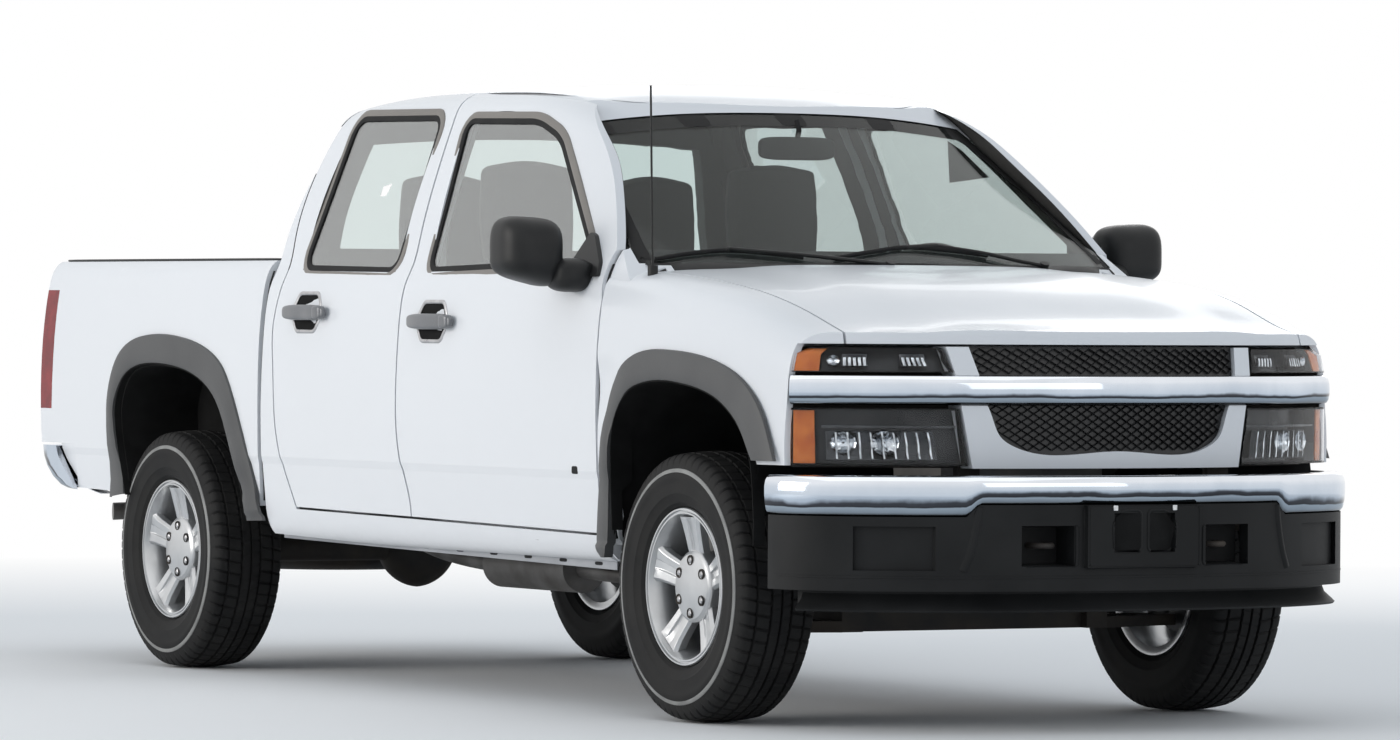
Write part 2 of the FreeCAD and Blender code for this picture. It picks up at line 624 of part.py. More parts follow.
SURROUND_SHARES = [
    [(-0.4744, 0.3961), (0.4744, 0.3961)],
    [(0.4744, 0.3961), (0.5396, 0.5773)],
    [(0.5396, 0.5773), (-0.5396, 0.5773)],
    [(-0.5396, 0.5773), (-0.4744, 0.3961)],
]
HIGH_GRILLE_SHARES = [
    [(-0.4545, 0.5298), (0.4545, 0.5298)],
    [(0.4545, 0.5298), (0.4744, 0.5785)],
    [(0.4744, 0.5785), (-0.4744, 0.5785)],
    [(-0.4744, 0.5785), (-0.4545, 0.5298)],
]
LOW_GRILLE_SHARES = [
    [(-0.4336, 0.4922), (-0.4103, 0.4632), (-0.3904, 0.4430), (-0.3497, 0.4291), (0, 0.4215),
     (0.3497, 0.4291), (0.3904, 0.4430), (0.4103, 0.4632), (0.4336, 0.4922)],
    [(0.4336, 0.4922), (-0.4336, 0.4922)],
]
SUPPORT_SHARES = [
    [(-0.9324, 0.3961), (0.9324, 0.3961)],
    [(0.9324, 0.3961), (0.9324, 0.5767)],
    [(0.9324, 0.5767), (-0.9324, 0.5767)],
    [(-0.9324, 0.5767), (-0.9324, 0.3961)],
]
RADIATOR_SHARES = [
    [(-0.4079, 0.4227), (0.4079, 0.4227)],
    [(0.4079, 0.4227), (0.4079, 0.5501)],
    [(0.4079, 0.5501), (-0.4079, 0.5501)],
    [(-0.4079, 0.5501), (-0.4079, 0.4227)],
]
SUPPORT_THICK = 26.0
SUPPORT_BRACKET_X = 730.0
SUPPORT_FOOT_SHARE = -0.2225
MESH_IN = 16.0
MESH_THICK = 8.0
HOOD_SHARES = [
    [(-0.8193, -0.3125), (0.8193, -0.3125)],
    [(0.8193, -0.3125), (0.8193, -0.2031)],
    [(0.8193, -0.2031), (0.8042, -0.1800), (0.8135, -0.0956), (0.8380, 0.0359), (0.8590, 0.1031)],
    [(0.8590, 0.1031), (0.6993, 0.0894), (0, 0.0694), (-0.6993, 0.0894), (-0.8590, 0.1031)],
    [(-0.8590, 0.1031), (-0.8380, 0.0359), (-0.8135, -0.0956), (-0.8042, -0.1800), (-0.8193, -0.2031)],
    [(-0.8193, -0.2031), (-0.8193, -0.3125)],
]
HOOD_LOW_SHARE = 0.5811
FENDER_LOW_SHARE = 0.3995
HOOD_SKIN = 24.0
FENDER_REAR_SHARES = [
    [(-0.2188, 0.1737), (0.1363, 0.1737)],
    [(0.1363, 0.1737), (0.1350, 0.2797), (0.1322, 0.3648), (0.1341, 0.4632), (0.1369, 0.5669),
     (0.1378, 0.6445), (0.1450, 0.6757), (0.1478, 0.7296)],
    [(0.1478, 0.7296), (-0.2188, 0.7296)],
    [(-0.2188, 0.7296), (-0.2188, 0.1737)],
]

# Bumpers
BUMPER_PLAN_SHARES = [
    (0, -0.2994), (0.2331, -0.2963), (0.5338, -0.2803), (0.7576, -0.2537), (0.9091, -0.2225),
    (0.9848, -0.1922), (1.0117, -0.1531),
]
BUMPER_FACE_SHARES = [
    [(-1.1072, 0.3260), (-0.5664, 0.3260)],
    [(-0.5664, 0.3260), (-0.5338, 0.3439)],
    [(-0.5338, 0.3439), (0.5338, 0.3439)],
    [(0.5338, 0.3439), (0.5664, 0.3260)],
    [(0.5664, 0.3260), (1.1072, 0.3260)],
    [(1.1072, 0.3260), (1.1072, 0.3868)],
    [(1.1072, 0.3868), (-1.1072, 0.3868)],
    [(-1.1072, 0.3868), (-1.1072, 0.3260)],
]
FASCIA_FACE_SHARES = [
    [(-1.1072, 0.2154), (1.1072, 0.2154)],
    [(1.1072, 0.2154), (1.1072, 0.3258)],
    [(1.1072, 0.3258), (0.5664, 0.3258)],
    [(0.5664, 0.3258), (0.5338, 0.3437)],
    [(0.5338, 0.3437), (-0.5338, 0.3437)],
    [(-0.5338, 0.3437), (-0.5664, 0.3258)],
    [(-0.5664, 0.3258), (-1.1072, 0.3258)],
    [(-1.1072, 0.3258), (-1.1072, 0.2154)],
]
HOOK_SHARES = [
    [(0.2331, 0.2525), (0.4021, 0.2525)],
    [(0.4021, 0.2525), (0.4021, 0.3127)],
    [(0.4021, 0.3127), (0.2331, 0.3127)],
    [(0.2331, 0.3127), (0.2331, 0.2525)],
]
FOG_SHARES = [
    [(0.6527, 0.2461), (0.8625, 0.2461)],
    [(0.8625, 0.2461), (0.8625, 0.3115)],
    [(0.8625, 0.3115), (0.6527, 0.3115)],
    [(0.6527, 0.3115), (0.6527, 0.2461)],
]
FOG_DEEP = 14.0
PLATE_SHARES = [
    [(-0.2005, 0.2501), (0.2005, 0.2501)],
    [(0.2005, 0.2501), (0.2005, 0.3428)],
    [(0.2005, 0.3428), (-0.2005, 0.3428)],
    [(-0.2005, 0.3428), (-0.2005, 0.2501)],
]
PLATE_HOLE_SHARES = [
    [(0.0210, 0.2727), (0.1072, 0.2727)],
    [(0.1072, 0.2727), (0.1072, 0.3312)],
    [(0.1072, 0.3312), (0.0210, 0.3312)],
    [(0.0210, 0.3312), (0.0210, 0.2727)],
]
PLATE_FRONT_SHARE = -0.2991
BUMPER_WALL = 60.0
BUMPER_END_SHARE = -0.1506
FASCIA_IN = 12.0
FASCIA_WALL = 40.0
FASCIA_END_SHARE = -0.1562
VALANCE_LOW_SHARE = 0.1865
VALANCE_IN = 60.0
REAR_BUMPER_PLAN_SHARES = [
    (0, 1.3422), (0.4662, 1.3400), (0.8042, 1.3319), (0.9324, 1.3172), (0.9930, 1.2906),
    (1.0093, 1.2469), (1.0117, 1.2063),
]
REAR_BUMPER_LOW_SHARE = 0.3023
REAR_BUMPER_TOP_SHARE = 0.3804
REAR_BUMPER_WALL = 90.0
STEP_SHARES = [
    (1.3162, 0.3706), (1.3356, 0.3804),
]
STEP_HALF_WIDTH = 330.0
BALL_HOLE_RADIUS = 13.0


def swept_plan(shares, inset, low_z, high_z, side):
    # A plan curve drawn both ways from the middle, closed straight across at its ends, and raised.
    points = plan_points(shares, low_z)
    curve = []
    for index, point in enumerate(points):
        before = points[max(index - 1, 0)]
        after = points[min(index + 1, len(points) - 1)]
        run = (after - before).normalize()
        curve.append(Vector(point.x - abs(run.y) * inset * (index > 0), point.y + side * abs(run.x) * inset,
                            low_z))
    curve = [flipped(point) for point in reversed(curve[1:])] + curve
    return extrude([curve, [curve[-1], curve[0]]], Vector(0, 0, high_z - low_z))


def steer_room():
    # A turned tyre stays inside a ball about the point where the kingpin meets the axle.
    reach = math.hypot(TYRE_RADIUS, WHEEL_X + TYRE_WIDTH / 2 - KINGPIN_X) + STEER_CLEAR
    return Part.makeSphere(reach, Vector(KINGPIN_X, FRONT_AXLE_Y, HUB_HEIGHT))


def build_front(pieces):
    skin = front_solid()
    under = front_solid(SKIN)
    hood_tool = plan_prism(HOOD_SHARES, up(HOOD_LOW_SHARE), ROOF_HEIGHT)
    hood = hood_tool.common(skin).cut(front_solid(HOOD_SKIN))
    hinge_y = at(HOOD_HINGE_SHARE[0])
    hinge_z = up(HOOD_HINGE_SHARE[1])
    low_x = HOOD_HINGE_X - HOOD_HINGE_WIDTH
    knuckle = cylinder(HOOD_HINGE_RADIUS, Vector(low_x, hinge_y, hinge_z),
                       Vector(HOOD_HINGE_X, hinge_y, hinge_z))
    arm = box(low_x, HOOD_HINGE_X, hinge_y - HOOD_HINGE_RADIUS * 5, hinge_y, hinge_z - HOOD_HINGE_RADIUS,
              hinge_z - HOOD_HINGE_RADIUS / 3)
    pieces["hood"] = joined([hood, knuckle, arm, mirrored(knuckle), mirrored(arm)])
    hood_room = plan_prism(HOOD_SHARES, up(HOOD_LOW_SHARE) - OVERRUN * 3, ROOF_HEIGHT, PANEL_GAP)
    front = box(-SIDE_REACH, SIDE_REACH, at(-1), at(FENDER_FRONT_SHARE), 0, up(HOOD_LOW_SHARE))
    arch = side_prism(FRONT_ARCH_SHARES, DOOR_INNER_X, SIDE_REACH)
    low_front = box(-SIDE_REACH, SIDE_REACH, at(-1), at(FRONT_ARCH_SHARES[1][0][0]) + OVERRUN, 0,
                    up(FENDER_LOW_SHARE))
    inboard = box(-SIDE_REACH, across(HOOD_SHARES[2][-1][0]) + PANEL_GAP, at(HOOD_SHARES[2][-1][1]), at(1),
                  0, ROOF_HEIGHT)
    fender = side_prism(FENDER_REAR_SHARES, DOOR_INNER_X, SIDE_REACH)
    fender = fender.cut([hood_room, front, arch, low_front, inboard, steer_room()])
    fender = fender.common(skin).cut(under)
    fender = max(fender.Solids, key=lambda solid: solid.Volume)
    pieces["fender_left"] = fender
    pieces["fender_right"] = mirrored(fender)
    face = low_nose()
    deep = low_nose(NOSE_DEEP)
    lamp_room = box(0, SIDE_REACH, at(-1), at(FENDER_FRONT_SHARE) - PANEL_GAP / 2, 0, ROOF_HEIGHT)
    lamps = []
    for outline in (LOW_LAMP_SHARES, HIGH_LAMP_SHARES):
        lamp = front_prism(outline, at(-1), at(FENDER_FRONT_SHARE)).common(lamp_room).common(face).cut(deep)
        lamps += both(lamp).Solids
    pieces["headlamps"] = Part.makeCompound(lamps)
    bar = front_prism(BAR_SHARES, at(-1), at(FENDER_FRONT_SHARE))
    pieces["nose_bar"] = bar.common(low_nose(-BAR_OUT)).cut(deep)
    openings = [front_prism(outline, at(-1), at(0)) for outline in (HIGH_GRILLE_SHARES, LOW_GRILLE_SHARES,
                                                                    BAR_SHARES)]
    surround = front_prism(SURROUND_SHARES, at(-1), at(FENDER_FRONT_SHARE)).cut(openings)
    pieces["grille_surround"] = surround.common(face).cut(deep)
    meshes = []
    for outline in (HIGH_GRILLE_SHARES, LOW_GRILLE_SHARES):
        panel = front_prism(outline, at(-1), at(FENDER_FRONT_SHARE), -SEAT_GAP).cut(openings[2])
        meshes += panel.common(low_nose(MESH_IN)).cut(low_nose(MESH_IN + MESH_THICK)).Solids
    pieces["grille"] = Part.makeCompound(meshes)
    support = front_prism(SUPPORT_SHARES, at(-1), at(FENDER_FRONT_SHARE) + OVERRUN)
    support = support.common(low_nose(NOSE_DEEP + SEAT_GAP)).cut(low_nose(NOSE_DEEP + SUPPORT_THICK))
    support = support.cut(front_prism(RADIATOR_SHARES, at(-1), at(0)))
    bracket_y = at(FENDER_FRONT_SHARE) + PANEL_GAP
    bracket = box(SUPPORT_BRACKET_X, SIDE_REACH, bracket_y, bracket_y + SUPPORT_THICK,
                  up(SUPPORT_SHARES[0][0][1]) + OVERRUN,
                  up(SUPPORT_SHARES[1][1][1]) - OVERRUN).common(front_slab(SKIN + SEAT_GAP))
    foot = box(RAIL_INNER_X, RAIL_INNER_X + RAIL_WIDTH, at(SUPPORT_FOOT_SHARE),
               at(SUPPORT_FOOT_SHARE) + SUPPORT_THICK,
               up(RAIL_SHARES[14][0][1]) + SEAT_GAP, up(SUPPORT_SHARES[0][0][1]) + SUPPORT_THICK)
    support = joined([support, bracket, mirrored(bracket), foot, mirrored(foot)])
    pieces["radiator_support"] = support.cut([pieces["headlamps"], pieces["nose_bar"],
                                              pieces["grille_surround"]])


def build_bumpers(pieces):
    end = at(BUMPER_END_SHARE)
    chrome = swept_plan(BUMPER_PLAN_SHARES, 0.0, 0.0, ROOF_HEIGHT, 1)
    chrome = chrome.cut(swept_plan(BUMPER_PLAN_SHARES, BUMPER_WALL, -OVERRUN, ROOF_HEIGHT + OVERRUN, 1))
    pieces["front_bumper"] = chrome.common(front_prism(BUMPER_FACE_SHARES, at(-1), end))
    fascia = swept_plan(BUMPER_PLAN_SHARES, FASCIA_IN, 0.0, ROOF_HEIGHT, 1)
    fascia = fascia.cut(swept_plan(BUMPER_PLAN_SHARES, FASCIA_IN + FASCIA_WALL, -OVERRUN,
                                   ROOF_HEIGHT + OVERRUN, 1))
    valance = swept_plan(BUMPER_PLAN_SHARES, VALANCE_IN, up(VALANCE_LOW_SHARE),
                         up(FASCIA_FACE_SHARES[0][0][1]), 1)
    valance = valance.cut(swept_plan(BUMPER_PLAN_SHARES, VALANCE_IN + SKIN, -OVERRUN, ROOF_HEIGHT, 1))
    fascia = fascia.common(front_prism(FASCIA_FACE_SHARES, at(-1), at(FASCIA_END_SHARE)))
    shelf = swept_plan(BUMPER_PLAN_SHARES, FASCIA_IN + SKIN, up(FASCIA_FACE_SHARES[0][0][1]),
                       up(FASCIA_FACE_SHARES[0][0][1]) + SKIN, 1)
    shelf = shelf.cut(swept_plan(BUMPER_PLAN_SHARES, VALANCE_IN + SKIN, -OVERRUN, ROOF_HEIGHT, 1))
    ends = box(-SIDE_REACH, SIDE_REACH, at(-1), at(FASCIA_END_SHARE) - OVERRUN, 0, ROOF_HEIGHT)
    fascia = joined([fascia, valance.common(ends), shelf.common(ends)])
    plate = front_prism(PLATE_SHARES, at(PLATE_FRONT_SHARE), at(PLATE_FRONT_SHARE) + SKIN)
    hook = front_prism(HOOK_SHARES, at(-1), at(0))
    fog = front_prism(FOG_SHARES, at(-1), at(0))
    fog = fog.cut(swept_plan(BUMPER_PLAN_SHARES, FASCIA_IN + FOG_DEEP, 0.0, ROOF_HEIGHT, 1))
    slot = front_prism(PLATE_HOLE_SHARES, at(-1), at(PLATE_FRONT_SHARE) + SKIN)
    openings = [hook, mirrored(hook), fog, mirrored(fog), slot, mirrored(slot)]
    pieces["front_fascia"] = joined([fascia, plate]).cut(openings)
    low = up(REAR_BUMPER_LOW_SHARE)
    top = up(REAR_BUMPER_TOP_SHARE)
    rear = swept_plan(REAR_BUMPER_PLAN_SHARES, 0.0, low, top, -1)
    rear = rear.cut(swept_plan(REAR_BUMPER_PLAN_SHARES, REAR_BUMPER_WALL, low - OVERRUN, top + OVERRUN, -1))
    (step_front, step_low), (step_rear, step_top) = STEP_SHARES
    tread = box(-STEP_HALF_WIDTH, STEP_HALF_WIDTH, at(step_front), at(step_rear), up(step_low),
                up(step_top) + OVERRUN)
    ball_y = (at(step_front) + at(step_rear)) / 2
    ball_hole = cylinder(BALL_HOLE_RADIUS, Vector(0, ball_y, low - OVERRUN),
                         Vector(0, ball_y, top + OVERRUN))
    pieces["rear_bumper"] = rear.cut([tread, ball_hole])


def bed_body(inset=0.0):
    y = at(BED_OUTLINE_SHARES[0][0][0]) - OVERRUN
    low = sink(front_points(LOW_SIDE_SHARES, y), inset, inset, inset)
    high = sink(front_points(BED_HIGH_SHARES, y), inset, inset, inset)
    top = up(BED_RAIL_SHARE) - inset
    rail = Vector(BED_WALL_X, y, top)
    half = [low, [low[-1], high[0]], high, [high[-1], rail]]
    runs = half + [[rail, flipped(rail)]]
    runs += [[flipped(point) for point in reversed(run)] for run in reversed(half)]
    runs += [[flipped(low[0]), low[0]]]
    return extrude(runs, Vector(0, at(BED_OUTLINE_SHARES[4][-2][0]) + 2 * OVERRUN - y, 0))


def roll_room():
    # A rear tyre turns on the spot, so a drum with a little room round it is enough.
    start = Vector(ARCH_INNER_X, REAR_AXLE_Y, HUB_HEIGHT)
    return cylinder(TYRE_RADIUS + ROLL_CLEAR, start, Vector(SIDE_REACH, REAR_AXLE_Y, HUB_HEIGHT))


def build_bed(pieces):
    y = at(BED_OUTLINE_SHARES[0][0][0]) - OVERRUN
    body = bed_body().common(side_prism(BED_OUTLINE_SHARES, -SIDE_REACH, SIDE_REACH))
    rear = at(BED_OUTLINE_SHARES[4][-2][0])
    gate_y = rear - TAILGATE_THICK
    front = at(BED_OUTLINE_SHARES[0][0][0]) + BED_FRONT_WALL
    hold = box(-BED_WALL_X, BED_WALL_X, front, gate_y - OVERRUN, BED_FLOOR_Z, ROOF_HEIGHT)
    wheelhouse = side_prism(REAR_ARCH_SHARES, WHEELHOUSE_X, BED_WALL_X + OVERRUN, WHEELHOUSE_WALL)
    hold = hold.cut([wheelhouse, mirrored(wheelhouse)])
    mouth_x = TAILGATE_HALF_WIDTH + PANEL_GAP
    mouth = box(-mouth_x, mouth_x, gate_y - 2 * OVERRUN, rear + OVERRUN, BED_FLOOR_Z, ROOF_HEIGHT)
    gate_room = box(-mouth_x, mouth_x, gate_y - PANEL_GAP, rear + OVERRUN, TAILGATE_LOW_Z - PANEL_GAP * 5,
                    ROOF_HEIGHT)
    under = box(-BED_SKIRT_X, BED_SKIRT_X, y, rear + OVERRUN, 0, BED_FLOOR_Z - BED_FLOOR)
    arch = side_prism(REAR_ARCH_SHARES, ARCH_INNER_X, SIDE_REACH)
    lamp_box = box(LAMP_INNER_X, SIDE_REACH, at(LAMP_FRONT_SHARE), rear + OVERRUN, up(LAMP_LOW_SHARE),
                   up(LAMP_TOP_SHARE))
    lamp = body.common(lamp_box)
    sides = [arch, lamp_box, roll_room()]
    tools = [hold, mouth, gate_room, under] + sides + [mirrored(side) for side in sides]
    pin = cylinder(GATE_PIN_RADIUS, Vector(TAILGATE_HALF_WIDTH + SEAT_GAP, at(GATE_HINGE_SHARE[0]),
                                           up(GATE_HINGE_SHARE[1])),
                   Vector(mouth_x + GATE_PIN_RADIUS, at(GATE_HINGE_SHARE[0]), up(GATE_HINGE_SHARE[1])))
    pieces["bed"] = joined([body.cut(tools), pin, mirrored(pin)])
    pieces["tail_lamps"] = both(lamp)
    gate = box(-TAILGATE_HALF_WIDTH, TAILGATE_HALF_WIDTH, gate_y, rear + OVERRUN, TAILGATE_LOW_Z,
               up(TAILGATE_TOP_SHARE))
    pieces["tailgate"] = gate.common(side_prism(BED_OUTLINE_SHARES, -SIDE_REACH, SIDE_REACH))


def build_flares(pieces):
    front = side_prism(FRONT_FLARE_SHARES, FLARE_IN_X, BODY_HALF_WIDTH + FLARE_OUT)
    front = front.cut([front_slab(-SEAT_GAP), cab_slab(-SEAT_GAP), steer_room()])
    rear = side_prism(REAR_FLARE_SHARES, FLARE_IN_X, BODY_HALF_WIDTH + FLARE_OUT)
    rear = rear.cut([bed_body(-SEAT_GAP), roll_room()])
    rear = max(rear.cut(cab_slab(-SEAT_GAP)).Solids, key=lambda solid: solid.Volume)
    front = max(front.Solids, key=lambda solid: solid.Volume)
    pieces["wheel_flares"] = Part.makeCompound(both(front).Solids + both(rear).Solids)


# Frame and running gear
RAIL_INNER_X = 350.0
RAIL_WIDTH = 64.0
RAIL_SHARES = [
    [(-0.2703, 0.3011), (-0.2000, 0.3011)],
    [(-0.2000, 0.3011), (-0.1375, 0.2895), (0, 0.2548), (0.1313, 0.2305)],
    [(0.1313, 0.2305), (0.7438, 0.2305)],
    [(0.7438, 0.2305), (0.7688, 0.2339), (0.8375, 0.2652), (0.9062, 0.3185)],
    [(0.9062, 0.3185), (1.0688, 0.3185)],
    [(1.0688, 0.3185), (1.1375, 0.3011)],
    [(1.1375, 0.3011), (1.3156, 0.3011)],
    [(1.3156, 0.3011), (1.3156, 0.3544)],
    [(1.3156, 0.3544), (1.1375, 0.3544)],
    [(1.1375, 0.3544), (1.0688, 0.3822)],
    [(1.0688, 0.3822), (0.9062, 0.3822)],
    [(0.9062, 0.3822), (0.8375, 0.3347), (0.7812, 0.2988), (0.7438, 0.2965)],
    [(0.7438, 0.2965), (0.1313, 0.2965)],
    [(0.1313, 0.2965), (0, 0.3243), (-0.1375, 0.3544), (-0.2000, 0.3660)],
    [(-0.2000, 0.3660), (-0.2703, 0.3660)],
    [(-0.2703, 0.3660), (-0.2703, 0.3011)],
]
CROSS_SHARES = [
    (-0.2375, 0.3329), (0.3688, 0.2316), (0.6813, 0.2820), (0.8562, 0.3069), (1.1844, 0.3277),
    (1.2937, 0.3277),
]
CROSS_WIDTH = 90.0
CROSS_HEIGHT = 46.0
CAB_MOUNT_SHARES = [
    (0.1750, 0.2924), (0.4875, 0.2924), (0.7281, 0.2924),
]
BED_MOUNT_SHARES = [
    (0.8500, 0.3474), (0.9875, 0.3822), (1.1250, 0.3532), (1.2500, 0.3474),
]
MOUNT_RADIUS = 30.0
ENGINE_FOOT_X = (190.0, 240.0)
HUB_HEIGHT = TYRE_RADIUS

# Engine and drive line
ENGINE_SHARES = [
    (-0.1094, 0.2548), (0.0781, 0.5559),
]
ENGINE_HALF_WIDTH = 250.0
ENGINE_CHAMFER = 60.0
GEARBOX_SHARES = [
    (0.0781, 0), (0.1313, 0), (0.3063, 0),
]
GEARBOX_FRONT_RADIUS = 150.0
GEARBOX_REAR_RADIUS = 80.0
SHAFT_HEIGHT = 478.0
SHAFT_RADIUS = 36.0

# Exhaust, tank and spare wheel
PIPE_RADIUS = 27.0
PIPE_SHARES = [
    (-0.3232, -0.0250, 0.3243), (-0.3322, 0, 0.2779), (-0.3217, 0.0625, 0.2287),
    (-0.3147, 0.1562, 0.1998), (-0.3147, 0.3125, 0.1946), (-0.3147, 0.4375, 0.1957),
    (-0.3147, 0.5062, 0.1998),
]
TAIL_PIPE_SHARES = [
    (-0.3147, 0.6500, 0.1998), (-0.3147, 0.7500, 0.2085), (-0.3147, 0.8625, 0.2548),
    (-0.3147, 0.9500, 0.3387), (-0.3147, 1.0188, 0.3474), (-0.3497, 1.0750, 0.3069),
    (-0.4382, 1.1250, 0.2710), (-0.5828, 1.1875, 0.2617), (-0.8042, 1.2281, 0.2606),
]
MUFFLER_SHARES = [
    (-0.3147, 0.5000, 0.1998), (-0.3147, 0.6562, 0.1998),
]
MUFFLER_RADIUS = 70.0
HANGER_SHARES = [
    (-0.3147, 0.3688, 0.1998, 0.2183), (-0.3147, 0.6813, 0.2038, 0.2687),
    (-0.4382, 1.1250, 0.2721, 0.3040),
]
HANGER_RADIUS = 5.0
TANK_SHARES = [
    (0.4313, 0.1737), (0.7125, 0.2617),
]
TANK_WIDTH = 250.0
SPARE_SHARE = 1.1844
SPARE_HEIGHT = 385.0
SPARE_SCALE = 0.94

# Wheels
RIM_RADIUS = 190.5
RIM_LIP = 17.0
RIM_WIDTH = 178.0
RIM_WALL = 9.0
RIM_FACE_IN = 22.0
TYRE_SHARES = [
    (0.3729, 0.5321), (0.3729, 0.5810), (0.4407, 0.6201), (0.4703, 0.6704), (0.5000, 0.7486),
    (0.4915, 0.8380), (0.4492, 0.9274), (0.3983, 0.9721), (0.3305, 0.9930), (0, 1.0000),
]
HUB_RADIUS = 66.0
DISC_RADIUS = 142.0
DISC_THICK = 22.0
HUB_BORE = 34.0
SPOKES = 5
SPOKE_WIDTH = 74.0
SPOKE_RIM_WIDTH = 54.0
SPOKE_DEEP = 34.0
FIRST_SPOKE_ANGLE = 90.0

# Knuckles, arms and axle
KINGPIN_X = 655.0
KNUCKLE_HALF = 92.0
KNUCKLE_RADIUS = 30.0
SPINDLE_CLEAR = 0.5
STEER_CLEAR = 8.0
ROLL_CLEAR = 20.0
ARM_THICK = 30.0
ARM_INNER_X = RAIL_INNER_X + RAIL_WIDTH + SEAT_GAP
ARM_SPREAD = 120.0
ARM_TIP = 34.0
AXLE_RADIUS = 42.0
DIFF_RADIUS = 125.0
DIFF_SHARES = [
    (0, 0.0724), (0.0641, 0.0625), (0.1107, 0.0428), (0.1340, 0.0243),
]
AXLE_END_X = 604.0
SPRING_X = 540.0
SPRING_WIDTH = 60.0
SPRING_SHARES = [
    [(0.8000, 0.3011), (0.9000, 0.2548), (1.0000, 0.2403), (1.1000, 0.2548), (1.2063, 0.3069)],
    [(1.2063, 0.3069), (1.2063, 0.3219)],
    [(1.2063, 0.3219), (1.1000, 0.2698), (1.0000, 0.2554), (0.9000, 0.2698), (0.8000, 0.3162)],
    [(0.8000, 0.3162), (0.8000, 0.3011)],
]


def tyre_shape(center, scale=1.0):
    half = [(across_tyre * TYRE_WIDTH * scale, radius * TYRE_RADIUS * scale) for across_tyre,
            radius in TYRE_SHARES]
    right = [Vector(x, 0, r) for x, r in half]
    left = [Vector(-x, 0, r) for x, r in reversed(half)]
    edges = [
        Part.makeLine(right[0], right[1]),
        spline(right[1:-1]),
        spline([right[-2], right[-1], left[1]]),
        spline(left[1:-1]),
        Part.makeLine(left[-2], left[-1]),
        Part.makeLine(left[-1], right[0]),
    ]
    face = Part.Face(Part.Wire(edges))
    return face.revolve(Vector(0, 0, 0), Vector(1, 0, 0), 360).translate(center)


def ring(outer, inner, x0, x1, center):
    start = Vector(x0, center.y, center.z)
    end = Vector(x1, center.y, center.z)
    body = cylinder(outer, start, end)
    if inner > 0:
        body = body.cut(cylinder(inner, Vector(x0 - OVERRUN, center.y, center.z),
                                 Vector(x1 + OVERRUN, center.y, center.z)))
    return body


def wheel_shape(side_x, y):
    # A left wheel: barrel, lips, five spokes and hub, with the brake disc on its back.
    center = Vector(side_x, y, HUB_HEIGHT)
    outer_x = side_x + RIM_WIDTH / 2
    inner_x = side_x - RIM_WIDTH / 2
    barrel = ring(RIM_RADIUS - SEAT_GAP, RIM_RADIUS - RIM_WALL, inner_x, outer_x, center)
    lip_out = ring(RIM_RADIUS + RIM_LIP, RIM_RADIUS - RIM_WALL, outer_x - SEAT_GAP, outer_x + RIM_WALL,
                   center)
    lip_in = ring(RIM_RADIUS + RIM_LIP, RIM_RADIUS - RIM_WALL, inner_x - RIM_WALL, inner_x + SEAT_GAP,
                  center)
    face_x = outer_x - RIM_FACE_IN
    hub = ring(HUB_RADIUS, HUB_BORE, face_x - SPOKE_DEEP * 2, face_x, center)
    cap = ring(HUB_BORE + RIM_WALL, 0, face_x - RIM_WALL, face_x + RIM_WALL, center)
    spokes = []
    for number in range(SPOKES):
        angle = math.radians(FIRST_SPOKE_ANGLE + 360.0 / SPOKES * number)
        corners = []
        for radius, half in ((HUB_RADIUS / 2, SPOKE_WIDTH / 2),
                             (RIM_RADIUS - RIM_WALL / 2, SPOKE_RIM_WIDTH / 2)):
            for sign in (-1, 1):
                along = Vector(0, math.cos(angle), math.sin(angle)) * radius
                beside = Vector(0, -math.sin(angle), math.cos(angle)) * (half * sign)
                corners.append(along + beside)
        order = [corners[0], corners[1], corners[3], corners[2]]
        points = [Vector(face_x - SPOKE_DEEP, y + point.y, HUB_HEIGHT + point.z) for point in order]
        spokes.append(extrude([[points[index], points[(index + 1) % 4]] for index in range(4)],
                              Vector(SPOKE_DEEP, 0, 0)))
    disc_x = face_x - SPOKE_DEEP * 2 - DISC_THICK
    disc = ring(DISC_RADIUS, HUB_BORE, disc_x, disc_x + DISC_THICK + SEAT_GAP, center)
    shapes = [barrel, lip_out, lip_in, hub, cap] + spokes + [disc]
    bore = cylinder(HUB_BORE, Vector(disc_x - OVERRUN, y, HUB_HEIGHT),
                    Vector(face_x - RIM_WALL, y, HUB_HEIGHT))
    return joined(shapes).cut(bore), face_x


def build_wheels(pieces):
    for name, y in (("front", FRONT_AXLE_Y), ("rear", REAR_AXLE_Y)):
        tyre = tyre_shape(Vector(WHEEL_X, y, HUB_HEIGHT))
        wheel, face_x = wheel_shape(WHEEL_X, y)
        pieces["tyre_" + name + "_left"] = tyre
        pieces["tyre_" + name + "_right"] = mirrored(tyre)
        pieces["rim_" + name + "_left"] = wheel
        pieces["rim_" + name + "_right"] = mirrored(wheel)
    return face_x


